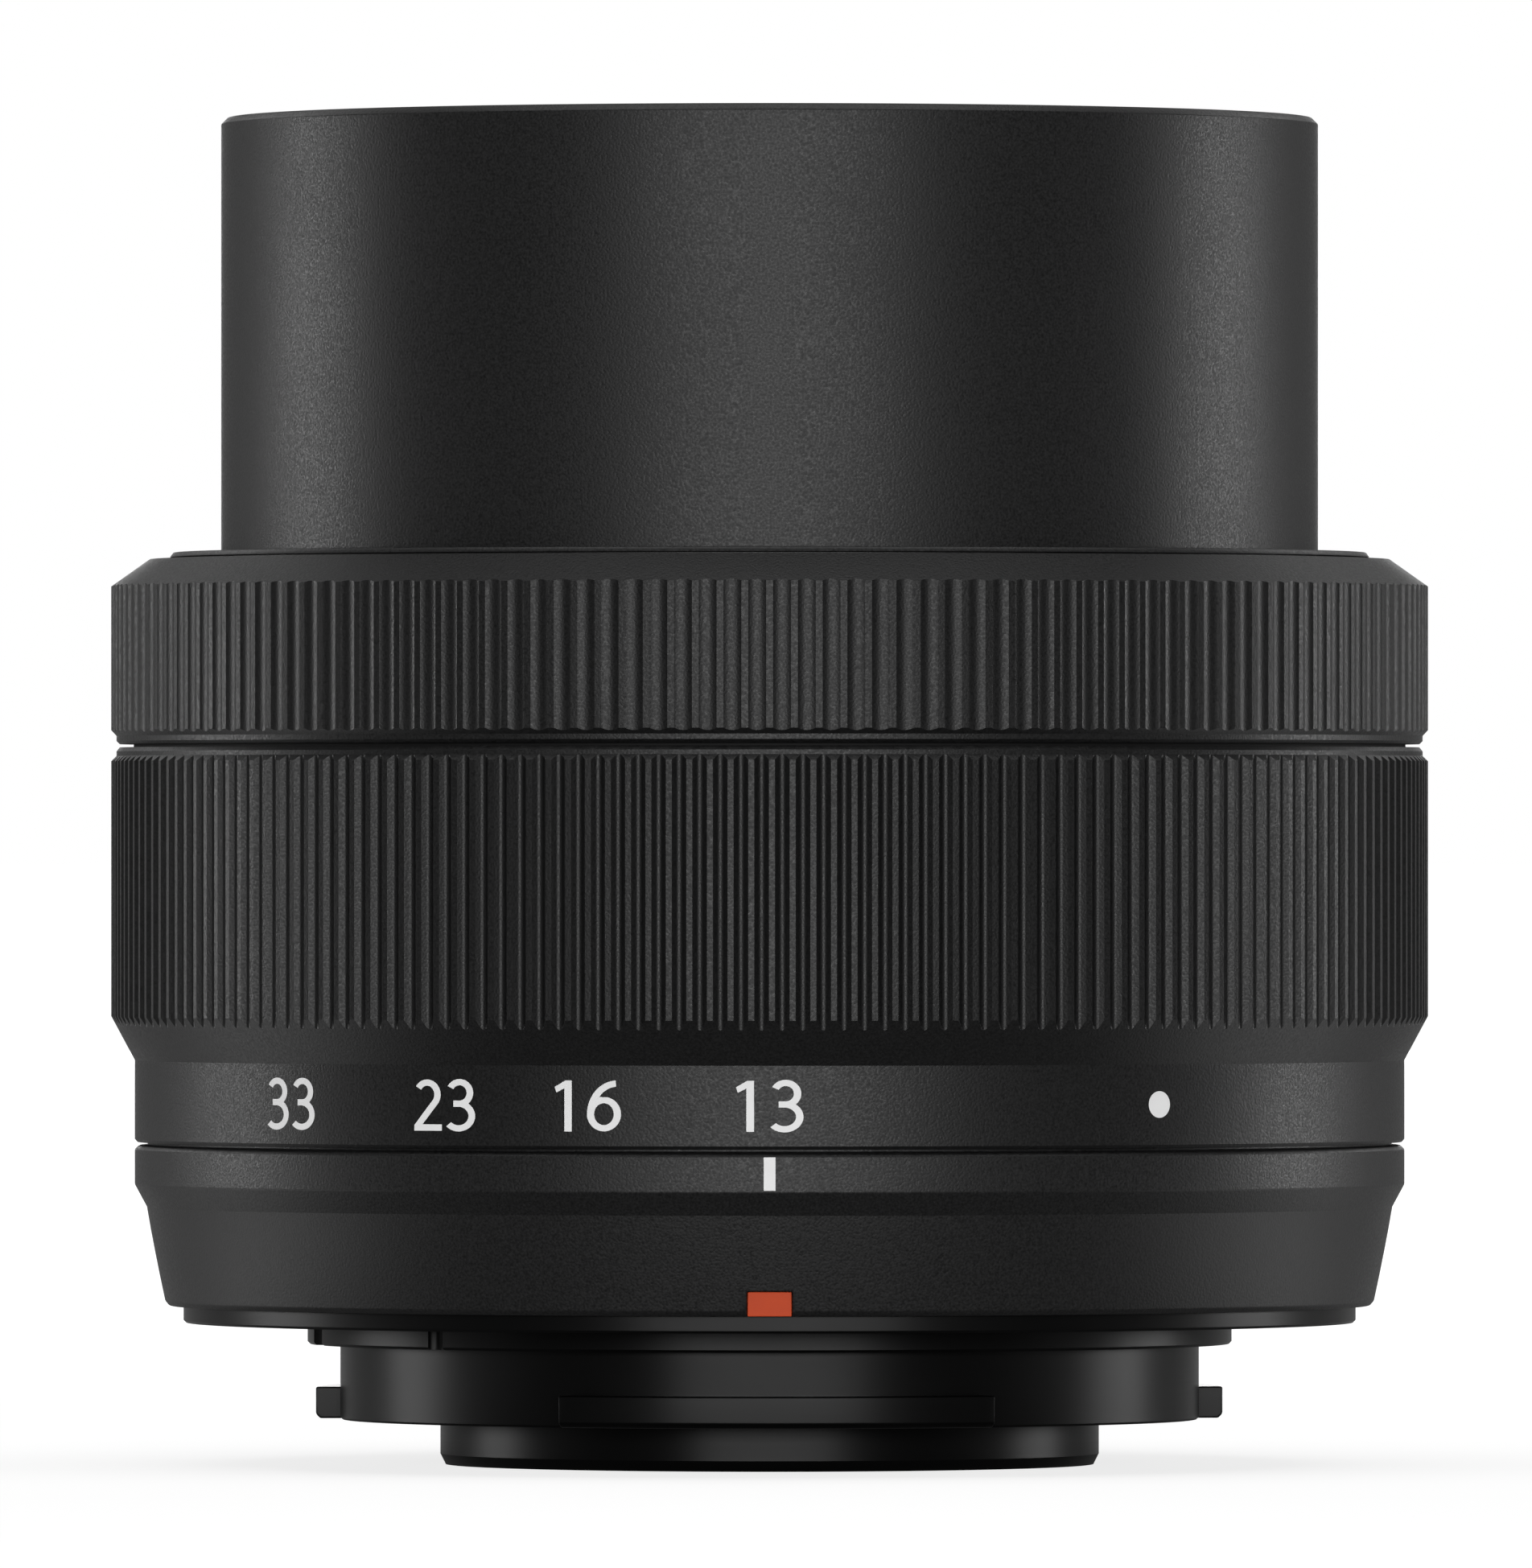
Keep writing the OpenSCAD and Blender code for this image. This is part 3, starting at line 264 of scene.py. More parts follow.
class Finish:
    """One material and the nodes that make it."""

    def __init__(self, name, tree=None):
        if tree is None:
            self.material = bpy.data.materials.new(name)
            self.material.use_nodes = True
            tree = self.material.node_tree
        self.tree = tree
        self.tree.nodes.clear()

    def node(self, kind, settings=None, sockets=None, output=0):
        """Adds any node: its settings first, then its values and links."""
        node = self.tree.nodes.new(kind)
        for key, value in (settings or {}).items():
            setattr(node, key, value)
        for key, value in (sockets or {}).items():
            if isinstance(value, Value):
                self.tree.links.new(value.socket, node.inputs[key])
            else:
                node.inputs[key].default_value = value
        return Value(self, node.outputs[output]) if node.outputs else None

    def place(self):
        """Where a point lies on its object, in metres."""
        return self.node("ShaderNodeTexCoord", output="Object")

    def noise(self, scale, detail=2.0, rough=0.5, stretch=None):
        where = self.place()
        if stretch:
            where = self.node("ShaderNodeMapping", sockets={"Vector": where, "Scale": stretch})
        return self.node("ShaderNodeTexNoise", sockets={
            "Vector": where, "Scale": scale, "Detail": detail, "Roughness": rough})

    def blend(self, factor, first, second):
        return self.node("ShaderNodeMix", {"data_type": "RGBA"},
                         {0: factor, 6: first, 7: second}, output=2)

    def bump(self, height, strength, distance):
        return self.node("ShaderNodeBump", sockets={
            "Height": height, "Strength": strength, "Distance": distance})

    def fade(self, value, start, stop, first, last):
        """A smooth change from the first level to the last as the value goes from start to stop."""
        return self.node("ShaderNodeMapRange", {"interpolation_type": "SMOOTHSTEP"}, {
            "Value": value, "From Min": start, "From Max": stop, "To Min": first, "To Max": last})

    def surface(self, **sockets):
        """Ends the material. An underscore stands for a space in the inputs' names."""
        shader = self.node("ShaderNodeBsdfPrincipled",
                           sockets={key.replace("_", " "): value for key, value in sockets.items()})
        self.node("ShaderNodeOutputMaterial", sockets={"Surface": shader})
        return self.material


def grey(level):
    """A grey that is very slightly cool."""
    return (level, level, level * 1.02, 1.0)


def grained_black(name, light):
    """Black paint over a fine blasted grain, whose gloss is uneven from speck to speck."""
    rough, speck, cloud = 0.43, 0.33, 0.06
    finish = Finish(name)
    fine = finish.noise(9000.0, 0.5)
    broad = finish.noise(140.0, 2.0)
    return finish.surface(
        Base_Color=finish.blend(fine, grey(0.0005), grey(light)),
        Roughness=rough - speck / 2 - cloud / 2 + broad * cloud + fine * speck,
        Specular_IOR_Level=0.25,
        Normal=finish.bump(fine, 1.0, 0.000011))


def satin_black(name, dark, light, rough, spec):
    """Smooth moulded black with faint drag marks round the axis."""
    finish = Finish(name)
    cloud = finish.noise(220.0, 3.0)
    drag = finish.noise(900.0, 2.0, 0.5, (0.1, 0.1, 6.0))
    return finish.surface(
        Base_Color=finish.blend(cloud, grey(dark), grey(light)),
        Roughness=rough + cloud * 0.06 + drag * 0.04,
        Specular_IOR_Level=spec,
        Normal=finish.bump(drag, 0.2, 0.000002))


def matt_black(name, level, rough):
    """Light-absorbing paint of the inner pieces."""
    finish = Finish(name)
    fleck = finish.noise(2600.0, 3.0)
    return finish.surface(
        Base_Color=finish.blend(fleck, grey(level * 0.7), grey(level * 1.4)),
        Roughness=rough + fleck * 0.1,
        Specular_IOR_Level=0.15,
        Normal=finish.bump(fleck, 0.4, 0.00003))


def bare_metal(name, colour, rough, stretch):
    """Machined or plated metal with fine tool marks."""
    finish = Finish(name)
    marks = finish.noise(1800.0, 4.0, 0.6, stretch)
    deep = tuple(c * 0.82 for c in colour) + (1.0,)
    return finish.surface(
        Base_Color=finish.blend(marks, deep, colour + (1.0,)),
        Metallic=1.0,
        Roughness=rough + marks * 0.12,
        Normal=finish.bump(marks, 0.2, 0.00001))


def painted(name, deep, pale, rough):
    """Paint, resist or film with a slight mottle."""
    finish = Finish(name)
    mottle = finish.noise(1500.0, 3.0)
    return finish.surface(
        Base_Color=finish.blend(mottle, deep + (1.0,), pale + (1.0,)),
        Roughness=rough + mottle * 0.08,
        Specular_IOR_Level=0.12,
        Normal=finish.bump(mottle, 0.15, 0.00002))


def felt():
    """Deep black flocked felt of the barrel's light seal."""
    finish = Finish("felt")
    fibre = finish.noise(9000.0, 4.0, 0.7)
    return finish.surface(
        Base_Color=finish.blend(fibre, grey(0.004), grey(0.02)),
        Roughness=0.95,
        Specular_IOR_Level=0.05,
        Normal=finish.bump(fibre, 1.0, 0.0001))


def coated_glass(name, tint):
    """Polished glass with an anti-reflection coat."""
    finish = Finish(name)
    coat = finish.noise(30.0, 1.0)
    return finish.surface(
        Base_Color=finish.blend(coat, (0.93, 0.97, 0.96, 1.0), (0.97, 0.99, 1.0, 1.0)),
        Roughness=0.0,
        IOR=1.52,
        Transmission_Weight=1.0,
        Specular_IOR_Level=0.3,
        Specular_Tint=tint)


SHELL = grained_black("shell_black", light=0.015)
GRIP = grained_black("grip_black", light=0.01)
MOUNT = satin_black("mount_black", dark=0.001, light=0.002, rough=0.25, spec=0.1)
INNER = matt_black("inner_black", level=0.006, rough=0.62)
GLASS = coated_glass("front_glass", tint=(0.5, 0.85, 0.65, 1.0))
INNER_GLASS = coated_glass("inner_glass", tint=(0.75, 0.6, 0.95, 1.0))
STEEL = bare_metal("steel", (0.62, 0.62, 0.64), 0.28, (1.0, 1.0, 0.2))
BRASS = bare_metal("gold_plate", (0.86, 0.64, 0.27), 0.2, (1.0, 1.0, 1.0))
ANODISED = bare_metal("anodised_aluminium", (0.06, 0.06, 0.065), 0.4, (0.2, 0.2, 3.0))
STRIP = bare_metal("code_strip_foil", (0.7, 0.7, 0.7), 0.3, (3.0, 3.0, 0.1))
BOARD = painted("solder_resist", (0.01, 0.09, 0.045), (0.02, 0.14, 0.07), 0.35)
CHIP = painted("chip_resin", (0.012, 0.012, 0.013), (0.022, 0.022, 0.024), 0.55)
FLEX = painted("flex_film", (0.32, 0.15, 0.03), (0.42, 0.2, 0.05), 0.35)
ORANGE = painted("alignment_orange", (0.54, 0.06, 0.014), (0.61, 0.075, 0.019), 0.45)
WHITE = painted("mark_white", (0.92, 0.92, 0.92), (0.96, 0.96, 0.96), 0.5)
FELT = felt()

# the CAD pieces take the finish of their slot
SLOT_FINISH = {
    "black_shell": SHELL, "grip": GRIP, "mount_black": MOUNT, "inner_black": INNER,
    "glass": INNER_GLASS, "steel": STEEL, "brass": BRASS, "aluminium": ANODISED,
    "board": BOARD, "chip": CHIP, "flex": FLEX, "felt": FELT, "mark": ORANGE, "strip": STRIP,
}
for part in frame["record"]["subparts"]:
    node = frame["nodes"][part["node"]]
    node.data.materials.clear()
    node.data.materials.append(SLOT_FINISH[part["material_slot"]])


# front barrel

THREAD_PITCH = 0.75
THREAD_DEPTH = 0.36
THREAD_FLANK = 0.3      # height of a groove's sloping side
THREAD_FLOOR = 0.08     # height of its flat bottom
THREAD_START = 55.95
THREAD_TURNS = 3


def filter_thread():
    """Corners of the thread's grooves, from the mouth inwards."""
    corners = []
    for turn in range(THREAD_TURNS):
        mouth = THREAD_START - turn * THREAD_PITCH
        upper = mouth - THREAD_FLANK
        lower = upper - THREAD_FLOOR
        corners += [(FILTER_R, mouth), (FILTER_R + THREAD_DEPTH, upper),
                    (FILTER_R + THREAD_DEPTH, lower), (FILTER_R, lower - THREAD_FLANK)]
    return corners


def front_barrel():
    """The sliding tube with its filter thread, and the bezel round the glass."""
    tube = turned("front_barrel_tube", [
        (23.58, 30.1), (26.6, 30.1), (26.6, 33.4), (BARREL_R, 33.4), (BARREL_R, BARREL_TOP - 0.3),
        (BARREL_R - 0.3, BARREL_TOP), (24.5, BARREL_TOP), (FILTER_R, 56.2)] + filter_thread() + [
        (FILTER_R, 53.3), (23.4, 53.3), (23.4, 51.6), (21.6, 51.6), (21.6, 50.4), (23.58, 50.4)])
    soften(tube, 0.07)
    dress(tube, SHELL, "front_barrel", "black_shell", "front_barrel")
    # the dished ring round the glass, with shallow steps that trap stray light
    steps = 6
    inner_r, inner_z, outer_r, outer_z = 15.9, 51.6, 22.6, 53.0
    slope = []
    for i in range(steps):
        r = outer_r + (inner_r - outer_r) * i / steps
        z = outer_z + (inner_z - outer_z) * i / steps
        slope += [(r, z), (r, z + (inner_z - outer_z) / steps)]
    bezel = turned("front_bezel_ring", [(23.35, 52.2), (23.35, outer_z)] + slope + [
        (inner_r, inner_z), (inner_r, 50.75), (19.9, 50.75), (19.9, 52.2)])
    soften(bezel, 0.04)
    dress(bezel, INNER, "front_barrel", "inner_black", "front_bezel")


def sphere_face(clear_r, edge_z, sag, count=14):
    """Points on a spherical face from its edge to the axis, bulging by sag."""
    curve = (clear_r * clear_r + sag * sag) / (2 * abs(sag))
    side = 1 if sag > 0 else -1
    points = []
    for i in range(count + 1):
        r = clear_r * (1 - i / count)
        points.append((r, edge_z + sag - side * (curve - sqrt(curve * curve - r * r))))
    return points


def element(name, r, low_z, top_z, top_sag, top_clear, low_sag, low_clear, finish, body):
    """One lens element. A positive sag stands out of the rim's plane, on either side."""
    top = sphere_face(top_clear, top_z, top_sag)
    low = sphere_face(low_clear, low_z, -low_sag)
    rim = [(r - LENS_BEVEL, low_z), (r, low_z + LENS_BEVEL), (r, top_z - LENS_BEVEL),
           (r - LENS_BEVEL, top_z)]
    section = list(reversed(low)) + rim + top
    glass = turned(name + "_glass", section, LENS_STEPS, close=False)
    dress(glass, finish, body, "glass", name, smooth=20)
    # the rim and the ground ledge behind it are painted black
    glass.data.materials.append(INNER)
    for face in glass.data.polygons:
        reach = hypot(face.center.x, face.center.y)
        behind = face.center.z < (low_z + 0.05) * MM and reach > low_clear * MM
        face.material_index = 1 if behind or reach > (r - 0.08) * MM else 0


front_barrel()
# rim radius, rim's low and top, sag and clear radius of the top face, then of the low face
element("lens_1", 16.5, 45.0, 50.0, 3.0, 15.6, -6.27, 12.2, GLASS, "front_barrel")
element("lens_2", 12.4, 43.2, 44.6, 2.09, 11.0, -2.16, 9.5, INNER_GLASS, "front_barrel")
element("lens_3", 10.6, 41.4, 42.8, 2.0, 9.8, -0.68, 9.0, INNER_GLASS, "front_barrel")
element("lens_9", 8.0, -3.5, -2.0, -0.46, 7.4, 1.0, 7.0, INNER_GLASS, "lens_body")
element("lens_10", 8.0, -5.0, -3.5, -1.21, 7.2, -0.44, 6.6, GLASS, "lens_body")

cover = turned("front_cover_plate", [
    (26.0, 36.18), (26.0, 35.94), (26.95, 35.94), (26.95, 34.75), (27.85, 34.75), (27.85, 35.94),
    (28.2, 35.94), (28.03, 36.18)])
soften(cover, 0.05)
dress(cover, SHELL, "lens_body", "black_shell", "front_cover_ring")


# fluted rings

FOCUS_FLUTES = 171
ZOOM_FLUTES = 205
ZOOM_LAND_TURN = 0.2    # turn of the zoom grip's middle land from the index line, in degrees


def round_flute(width, depth, count=12):
    """Outline of a shallow round flute, across the grip and out from the axis."""
    r = (width * width / 4 + depth * depth) / (2 * depth)
    centre = GRIP_R - depth + r
    past = 1.2  # the cutter reaches past the grip's surface
    spread = (pi - 2 * acos(width / 2 / r)) * past
    turns = [spread * (i / count - 0.5) for i in range(count + 1)]
    return [(r * sin(t), centre - r * cos(t)) for t in turns]


def v_flute(width, flank, nose, count=6):
    """Outline of a V-shaped flute with a rounded bottom. Its sides lean in by the flank's angle."""
    flank = radians(flank)
    depth = (width / 2 - nose * sin(flank)) * tan(flank) + nose * (1 - cos(flank))
    turns = [flank * (2 * i / count - 1) for i in range(count + 1)]
    bottom = [(nose * sin(t), GRIP_R - depth + nose * (1 - cos(t))) for t in turns]
    over = 0.1
    mouth = (width / 2 + over, GRIP_R + over * tan(flank))
    return [(-mouth[0], mouth[1])] + bottom + [mouth]


def bar(name, outline, low, top, turn):
    """A straight cutter along Z with this outline, turned about the lens axis."""
    piece = draw(name, outline)
    bpy.ops.mesh.select_all(action="SELECT")
    bpy.ops.mesh.edge_face_add()
    bpy.ops.mesh.extrude_region_move(TRANSFORM_OT_translate={"value": (0, low - top, 0)})
    tidy_mesh()
    hold(piece)
    piece.rotation_euler = (-pi / 2, 0, 0)
    piece.location = (0, 0, low)
    bpy.ops.object.transform_apply(location=True, rotation=True)
    piece.rotation_euler = (0, 0, turn - pi / 2)
    bpy.ops.object.transform_apply(rotation=True)
    return piece


def fluted_ring(name, corners, flutes, outline, turn):
    """A ring whose grip is cut once, on one flute's share, and copied all round."""
    share = 2 * pi / flutes
    middle = azimuth(turn)
    ring = sector(name, corners, middle - share / 2, share, 2)
    low = min(z for _, z in corners)
    top = max(z for _, z in corners)
    combine(ring, bar("flute", outline, low - 1, top + 1, middle))
    # the closed ends of the share come off
    edit(ring, "FACE")
    bpy.ops.mesh.select_all(action="DESELECT")
    clear()
    for face in ring.data.polygons:
        off = atan2(face.center.y, face.center.x) - middle
        off = (off + pi) % (2 * pi) - pi
        face.select = abs(off) > share / 2 - share / 200
    edit(ring, "FACE")
    bpy.ops.mesh.delete(type="FACE")
    bpy.ops.mesh.select_all(action="SELECT")
    bpy.ops.mesh.spin(steps=flutes - 1, dupli=True, angle=share * (flutes - 1),
                      center=(0, 0, 0), axis=(0, 0, 1))
    tidy_mesh(merge=0.002)
    clear()
    return ring


focus_grip = fluted_ring("focus_grip_ring", [
    (30.0, 27.17), (30.55, 27.17), (30.7, 27.32), (30.7, 27.56), (GRIP_R, 27.83), (GRIP_R, 34.58),
    (29.14, 35.86), (27.95, 35.86), (27.95, 34.9), (29.4, 34.9), (29.4, 33.1), (29.6, 33.1),
    (29.6, 28.95), (29.4, 28.95), (29.4, 27.65), (30.0, 27.65)],
    FOCUS_FLUTES, round_flute(width=0.84, depth=0.1), 180 / FOCUS_FLUTES)
dress(focus_grip, GRIP, "focus_ring", "grip", "focus_ring", smooth=20)

zoom_grip = fluted_ring("zoom_grip_ring", [
    (29.35, 8.49), (29.72, 8.49), (BAND_R, 8.63), (BAND_R, 12.33), (GRIP_R, 14.4), (GRIP_R, 26.37),
    (30.7, 26.62), (30.7, 26.83), (30.55, 27.02), (30.0, 27.02), (30.0, 26.55), (28.85, 26.55),
    (28.85, 9.05), (29.35, 9.05)],
    ZOOM_FLUTES, v_flute(width=0.68, flank=45, nose=0.24), ZOOM_LAND_TURN + 180 / ZOOM_FLUTES)
dress(zoom_grip, GRIP, "zoom_ring", "grip", "zoom_ring", smooth=20)


# base shell and its marks

def base_shell():
    """The casing behind the zoom ring, with the mark for fitting the lens in its recess."""
    shell = turned("base_shell_casing", [
        (28.22, FLANGE_T), (FOOT_R, 1.02), (28.66, 2.2), (28.88, 3.3), (29.09, 4.4), (29.27, 5.44),
        (BAND_R, 6.5), (BAND_R, 8.15), (29.64, 8.34), (29.24, 8.34), (29.24, 8.9), (28.85, 8.9),
        (28.85, 5.59), (27.4, 5.59), (27.4, BOSS_TOP), (26.55, BOSS_TOP), (26.55, FLANGE_T)])
    recess = block("recess", (2.09, 1.46, 1.16), (0, -FOOT_R - 0.27, FLANGE_T + 0.57))
    combine(shell, recess)
    soften(shell, 0.06)
    dress(shell, SHELL, "lens_body", "black_shell", "base_shell", smooth=14)
    mark = block("alignment_tab", (2.04, 0.3, 1.13), (0, -FOOT_R + 0.31, FLANGE_T + 0.565))
    soften(mark, 0.05)
    dress(mark, ORANGE, "lens_body", "mark", "alignment_mark")


base_shell()


# printed marks

MARK_PROUD = 0.012
DIGIT_FOOT = 9.3
DIGIT_WIDE = 0.975  # share of the outlines' size at which the digits are printed
DIGIT_TALL = 0.957
HALF_STEM = 0.175   # half the width of an upright stroke
HALF_BAR = 0.15     # half the width of a level stroke


def arc(x, y, wide, tall, start, stop, side=0, count=20):
    """Points on part of an ellipse, from start to stop in degrees.

    The ellipse is the middle of a stroke. Side 1 is the stroke's outer edge and -1 its inner one.
    """
    wide += side * HALF_STEM
    tall += side * HALF_BAR
    turns = [radians(start + (stop - start) * i / count) for i in range(count + 1)]
    return [(x + wide * cos(t), y + tall * sin(t)) for t in turns]


def three():
    upper, lower = (0.68, 1.828, 0.557, 0.518), (0.622, 0.717, 0.717, 0.594)
    nose = 0.347
    return [arc(*upper, 151, -50, 1) + arc(*lower, 53, -138, 1) + arc(*lower, -138, 90, -1)
            + [(nose, 1.311 - HALF_BAR), (nose, 1.31 + HALF_BAR)] + arc(*upper, -90, 151, -1)]


def two():
    top = (0.72, 1.74, 0.573, 0.576)
    return [arc(*top, 147, -38, 1) + [(0.46, 0.31), (1.532, 0.31), (1.532, 0), (0, 0), (0, 0.27)]
            + arc(*top, -38, 147, -1)]


def six():
    bowl, arm = (0.838, 0.838, 0.655, 0.675), (1.511, 0.838, 1.322, 1.47)
    outside = arc(*arm, 94, 179, 1) + arc(*bowl, 180, 468, 1, 40) + arc(*arm, 144, 94, -1)
    return [outside, arc(*bowl, 0, 350, -1, 35)]


# outlines of each digit in mm, from its left edge and its foot
DIGITS = {
    "1": [[(0.485, 0), (0.847, 0), (0.847, 2.447), (0.528, 2.447), (0, 2.135), (0.087, 1.868),
           (0.485, 2.077)]],
    "2": two(), "3": three(), "6": six(),
}


def flat(name, outlines):
    """A flat print with these outlines, facing the index line."""
    piece = joined(name, [draw(name, corners) for corners in outlines])
    edit(piece, "EDGE")
    bpy.ops.mesh.select_all(action="SELECT")
    bpy.ops.mesh.fill()
    clear()
    return piece


def printed(piece, turn, z, body):
    """Lays a flat print round the band at a turn and a height, as thin as paint."""
    strip, half_count = 0.22, 8
    edit(piece, "FACE")
    for i in range(-half_count, half_count + 1):
        bpy.ops.mesh.select_all(action="SELECT")
        bpy.ops.mesh.bisect(plane_co=(i * strip, 0, 0), plane_no=(1, 0, 0))
    bpy.ops.mesh.select_all(action="SELECT")
    bpy.ops.transform.translate(value=(0, -BAND_R - 1, z))
    clear()
    band = rod("band", BAND_R, z - 3, z + 3, sides=720)
    apply(piece, "SHRINKWRAP", target=band, wrap_method="PROJECT", use_project_y=True)
    hold(band)
    bpy.ops.object.delete()
    apply(piece, "SOLIDIFY", thickness=MARK_PROUD * 2, offset=0)
    edit(piece)
    tidy_mesh()
    clear()
    piece.rotation_euler = (0, 0, radians(turn))
    dress(piece, WHITE, body, "mark")


# each number: its two digits with their left edges, and its turn from the index line
SCALE = (("33", -1.71, 0.11, -47.8), ("23", -1.69, 0.13, -30.05), ("16", -1.63, -0.04, -16.25),
         ("13", -1.58, 0.08, 0.0))
for text, left, right, turn in SCALE:
    digits = []
    for digit, shift in zip(text, (left, right)):
        digits.append(flat("digit", [[((x + shift) * DIGIT_WIDE, y * DIGIT_TALL) for x, y in loop]
                                     for loop in DIGITS[digit]]))
    printed(joined("scale_" + text, digits), turn, DIGIT_FOOT, "zoom_ring")

DOT_R, DOT_TURN, DOT_Z = 0.615, 37.0, 10.49
dot = flat("parking_dot", [arc(0, 0, DOT_R, DOT_R, 0, 352, 0, 44)])
printed(dot, DOT_TURN, DOT_Z, "zoom_ring")
LINE_HALF, LINE_TALL, LINE_Z = 0.27, 1.53, 6.6
line = flat("index_line", [[(-LINE_HALF, 0), (LINE_HALF, 0), (LINE_HALF, LINE_TALL),
                            (-LINE_HALF, LINE_TALL)]])
printed(line, 0.0, LINE_Z, "lens_body")


# mount

SCREW_TURNS = (45, 135, 225, 315)
LUG_COUNT = 3
LUG_SWEEP = 56.6    # degrees
LUG_TURN = 1        # of the first lug's middle from the index line, in degrees
LUG_LOW, LUG_TOP = -4.53, -3.05


def bayonet():
    """The flange with its centring ring, holes and notches, and the three lugs."""
    mount = turned("bayonet_flange_ring", [
        (MOUNT_BORE_R, BAYONET_END), (BAYONET_R - 0.1, BAYONET_END), (BAYONET_R, BAYONET_END + 0.1),
        (BAYONET_R, -1.0), (SPIGOT_R - 0.12, -1.0), (SPIGOT_R, -0.88), (SPIGOT_R, 0.0),
        (FLANGE_R - 0.12, 0.0), (FLANGE_R, 0.12), (FLANGE_R, FLANGE_T), (26.4, FLANGE_T),
        (26.4, BOSS_TOP), (17.6, BOSS_TOP), (17.6, -1.2), (MOUNT_BORE_R, -1.2)])
    for turn in SCREW_TURNS:
        bore(mount, "counterbore", turn, SCREW_RING_R, 1.5, -1, 0.7)
        bore(mount, "screw_hole", turn, SCREW_RING_R, 0.8, -0.5, 3.2, 32)
    bore(mount, "lock_hole", 180, SCREW_RING_R, 1.3, -1, 1.4)
    bore(mount, "notch", -45.6, SPIGOT_R + 0.1, 0.5, -2, 0)
    bore(mount, "notch", -77, SPIGOT_R + 0.5, 1.05, -2, 0)
    soften(mount, 0.05)
    root_r = BAYONET_R - 0.5
    section = [(root_r, LUG_LOW), (LUG_R - 0.2, LUG_LOW), (LUG_R, LUG_LOW + 0.2), (LUG_R, LUG_TOP),
               (root_r, LUG_TOP)]
    lugs = []
    for i in range(LUG_COUNT):
        start = i * 360 / LUG_COUNT + LUG_TURN - LUG_SWEEP / 2
        lug = sector("lug", section, azimuth(start), radians(LUG_SWEEP), 40)
        soften(lug, 0.09, 30, 3)
        lugs.append(lug)
    mount = joined("bayonet_flange_ring", lugs + [mount])
    dress(mount, MOUNT, "lens_body", "mount_black", "bayonet_mount")


def mount_screws():
    """Four cross-head screws, each stopped at a turn of its own."""
    screws = []
    for i, turn in enumerate(SCREW_TURNS):
        screw = turned("screw", [(0, 0.1), (0.75, 0.1), (1.2, 0.18), (1.4, 0.34), (1.4, 0.7),
                                 (0.7, 0.7), (0.7, 3.3), (0, 3.3)], 48, close=False)
        for slot_turn in (0, pi / 2):
            combine(screw, block("slot", (1.5, 0.26, 0.7), (0, 0, 0.2), slot_turn + 0.4 * i))
        soften(screw, 0.03)
        screws.append(shifted(screw, *on_ring(turn, SCREW_RING_R)))
    dress(joined("mount_screw_set", screws), STEEL, "lens_body", "steel", "mount_screws")


def rear_baffle():
    """The tube round the last glass, with its window and a clearance for the contacts."""
    baffle = turned("rear_baffle_tube", [
        (0, BAFFLE_END), (BAFFLE_R - 0.25, BAFFLE_END), (BAFFLE_R, BAFFLE_END + 0.5),
        (BAFFLE_R, -2.2), (18.5, -2.2), (18.5, -1.2), (14.58, -1.2), (14.58, -5.96), (0, -5.96)],
        close=False)
    window = block("window", (21, 15, 3), (0, 0, BAFFLE_END))
    soften(window, 1.0, segments=5)
    combine(baffle, window)
    span = 36.0
    combine(baffle, sector("clearance", [(15.5, -3.2), (19.6, -3.2), (19.6, -0.2), (15.5, -0.2)],
                           azimuth(180 - span), radians(2 * span), 36))
    soften(baffle, 0.05)
    dress(baffle, MOUNT, "lens_body", "inner_black", "rear_baffle")


def contacts():
    """The contact holder and its ten sprung pins."""
    count, pitch, ring_r, face_z = 10, 6.3, 17.0, -4.4
    span = pitch * count / 2 + 1.5
    holder = sector("contact_holder", [(15.7, face_z), (18.3, face_z), (18.3, -1.2), (15.7, -1.2)],
                    azimuth(180 - span), radians(2 * span), 48)
    pins = []
    for i in range(count):
        turn = 180 + (i - count / 2 + 0.5) * pitch
        bore(holder, "pocket", turn, ring_r, 0.52, face_z - 1, face_z + 1, 32)
        pin = turned("pin", [(0, -4.7), (0.2, -4.68), (0.36, -4.6), (0.45, -4.48), (0.5, -4.3),
                             (0.5, -3.4), (0, -3.4)], 32, close=False)
        pins.append(shifted(pin, *on_ring(turn, ring_r)))
    soften(holder, 0.08)
    dress(holder, INNER, "lens_body", "inner_black", "contact_block")
    dress(joined("contact_pin_set", pins), BRASS, "lens_body", "brass", "contact_pins")


bayonet()
mount_screws()
rear_baffle()
contacts()


# floor, light and camera

FLOOR_Z = BAFFLE_END * MM
WHITE_LIGHT = (1, 1, 1, 1)


def seen(finish, mirrored):
    """What a ray finds: 1 when seen directly, mirrored in reflections, 0 when it gathers light."""
    camera_ray, glossy_ray, through_ray = (
        finish.node("ShaderNodeLightPath", output="Is %s Ray" % kind)
        for kind in ("Camera", "Glossy", "Transmission"))
    return camera_ray.or_more(through_ray.or_more(glossy_ray * mirrored))


clear()
bpy.ops.mesh.primitive_plane_add(size=40, location=(0, 0, FLOOR_Z))
floor = named("floor")
paper = Finish("floor_paper")
lit = paper.node("ShaderNodeBsdfDiffuse", sockets={"Color": (0.28, 0.28, 0.28, 1)})
# a little darker close to the lens, so that its shadow shows
away = paper.node("ShaderNodeVectorMath", {"operation": "LENGTH"}, {0: paper.place()}, "Value")
pale = paper.fade(away, start=0.1, stop=0.5, first=0.8, last=1.0)
FAR_LEVEL = 0.05    # what reflections find on the rest of the floor


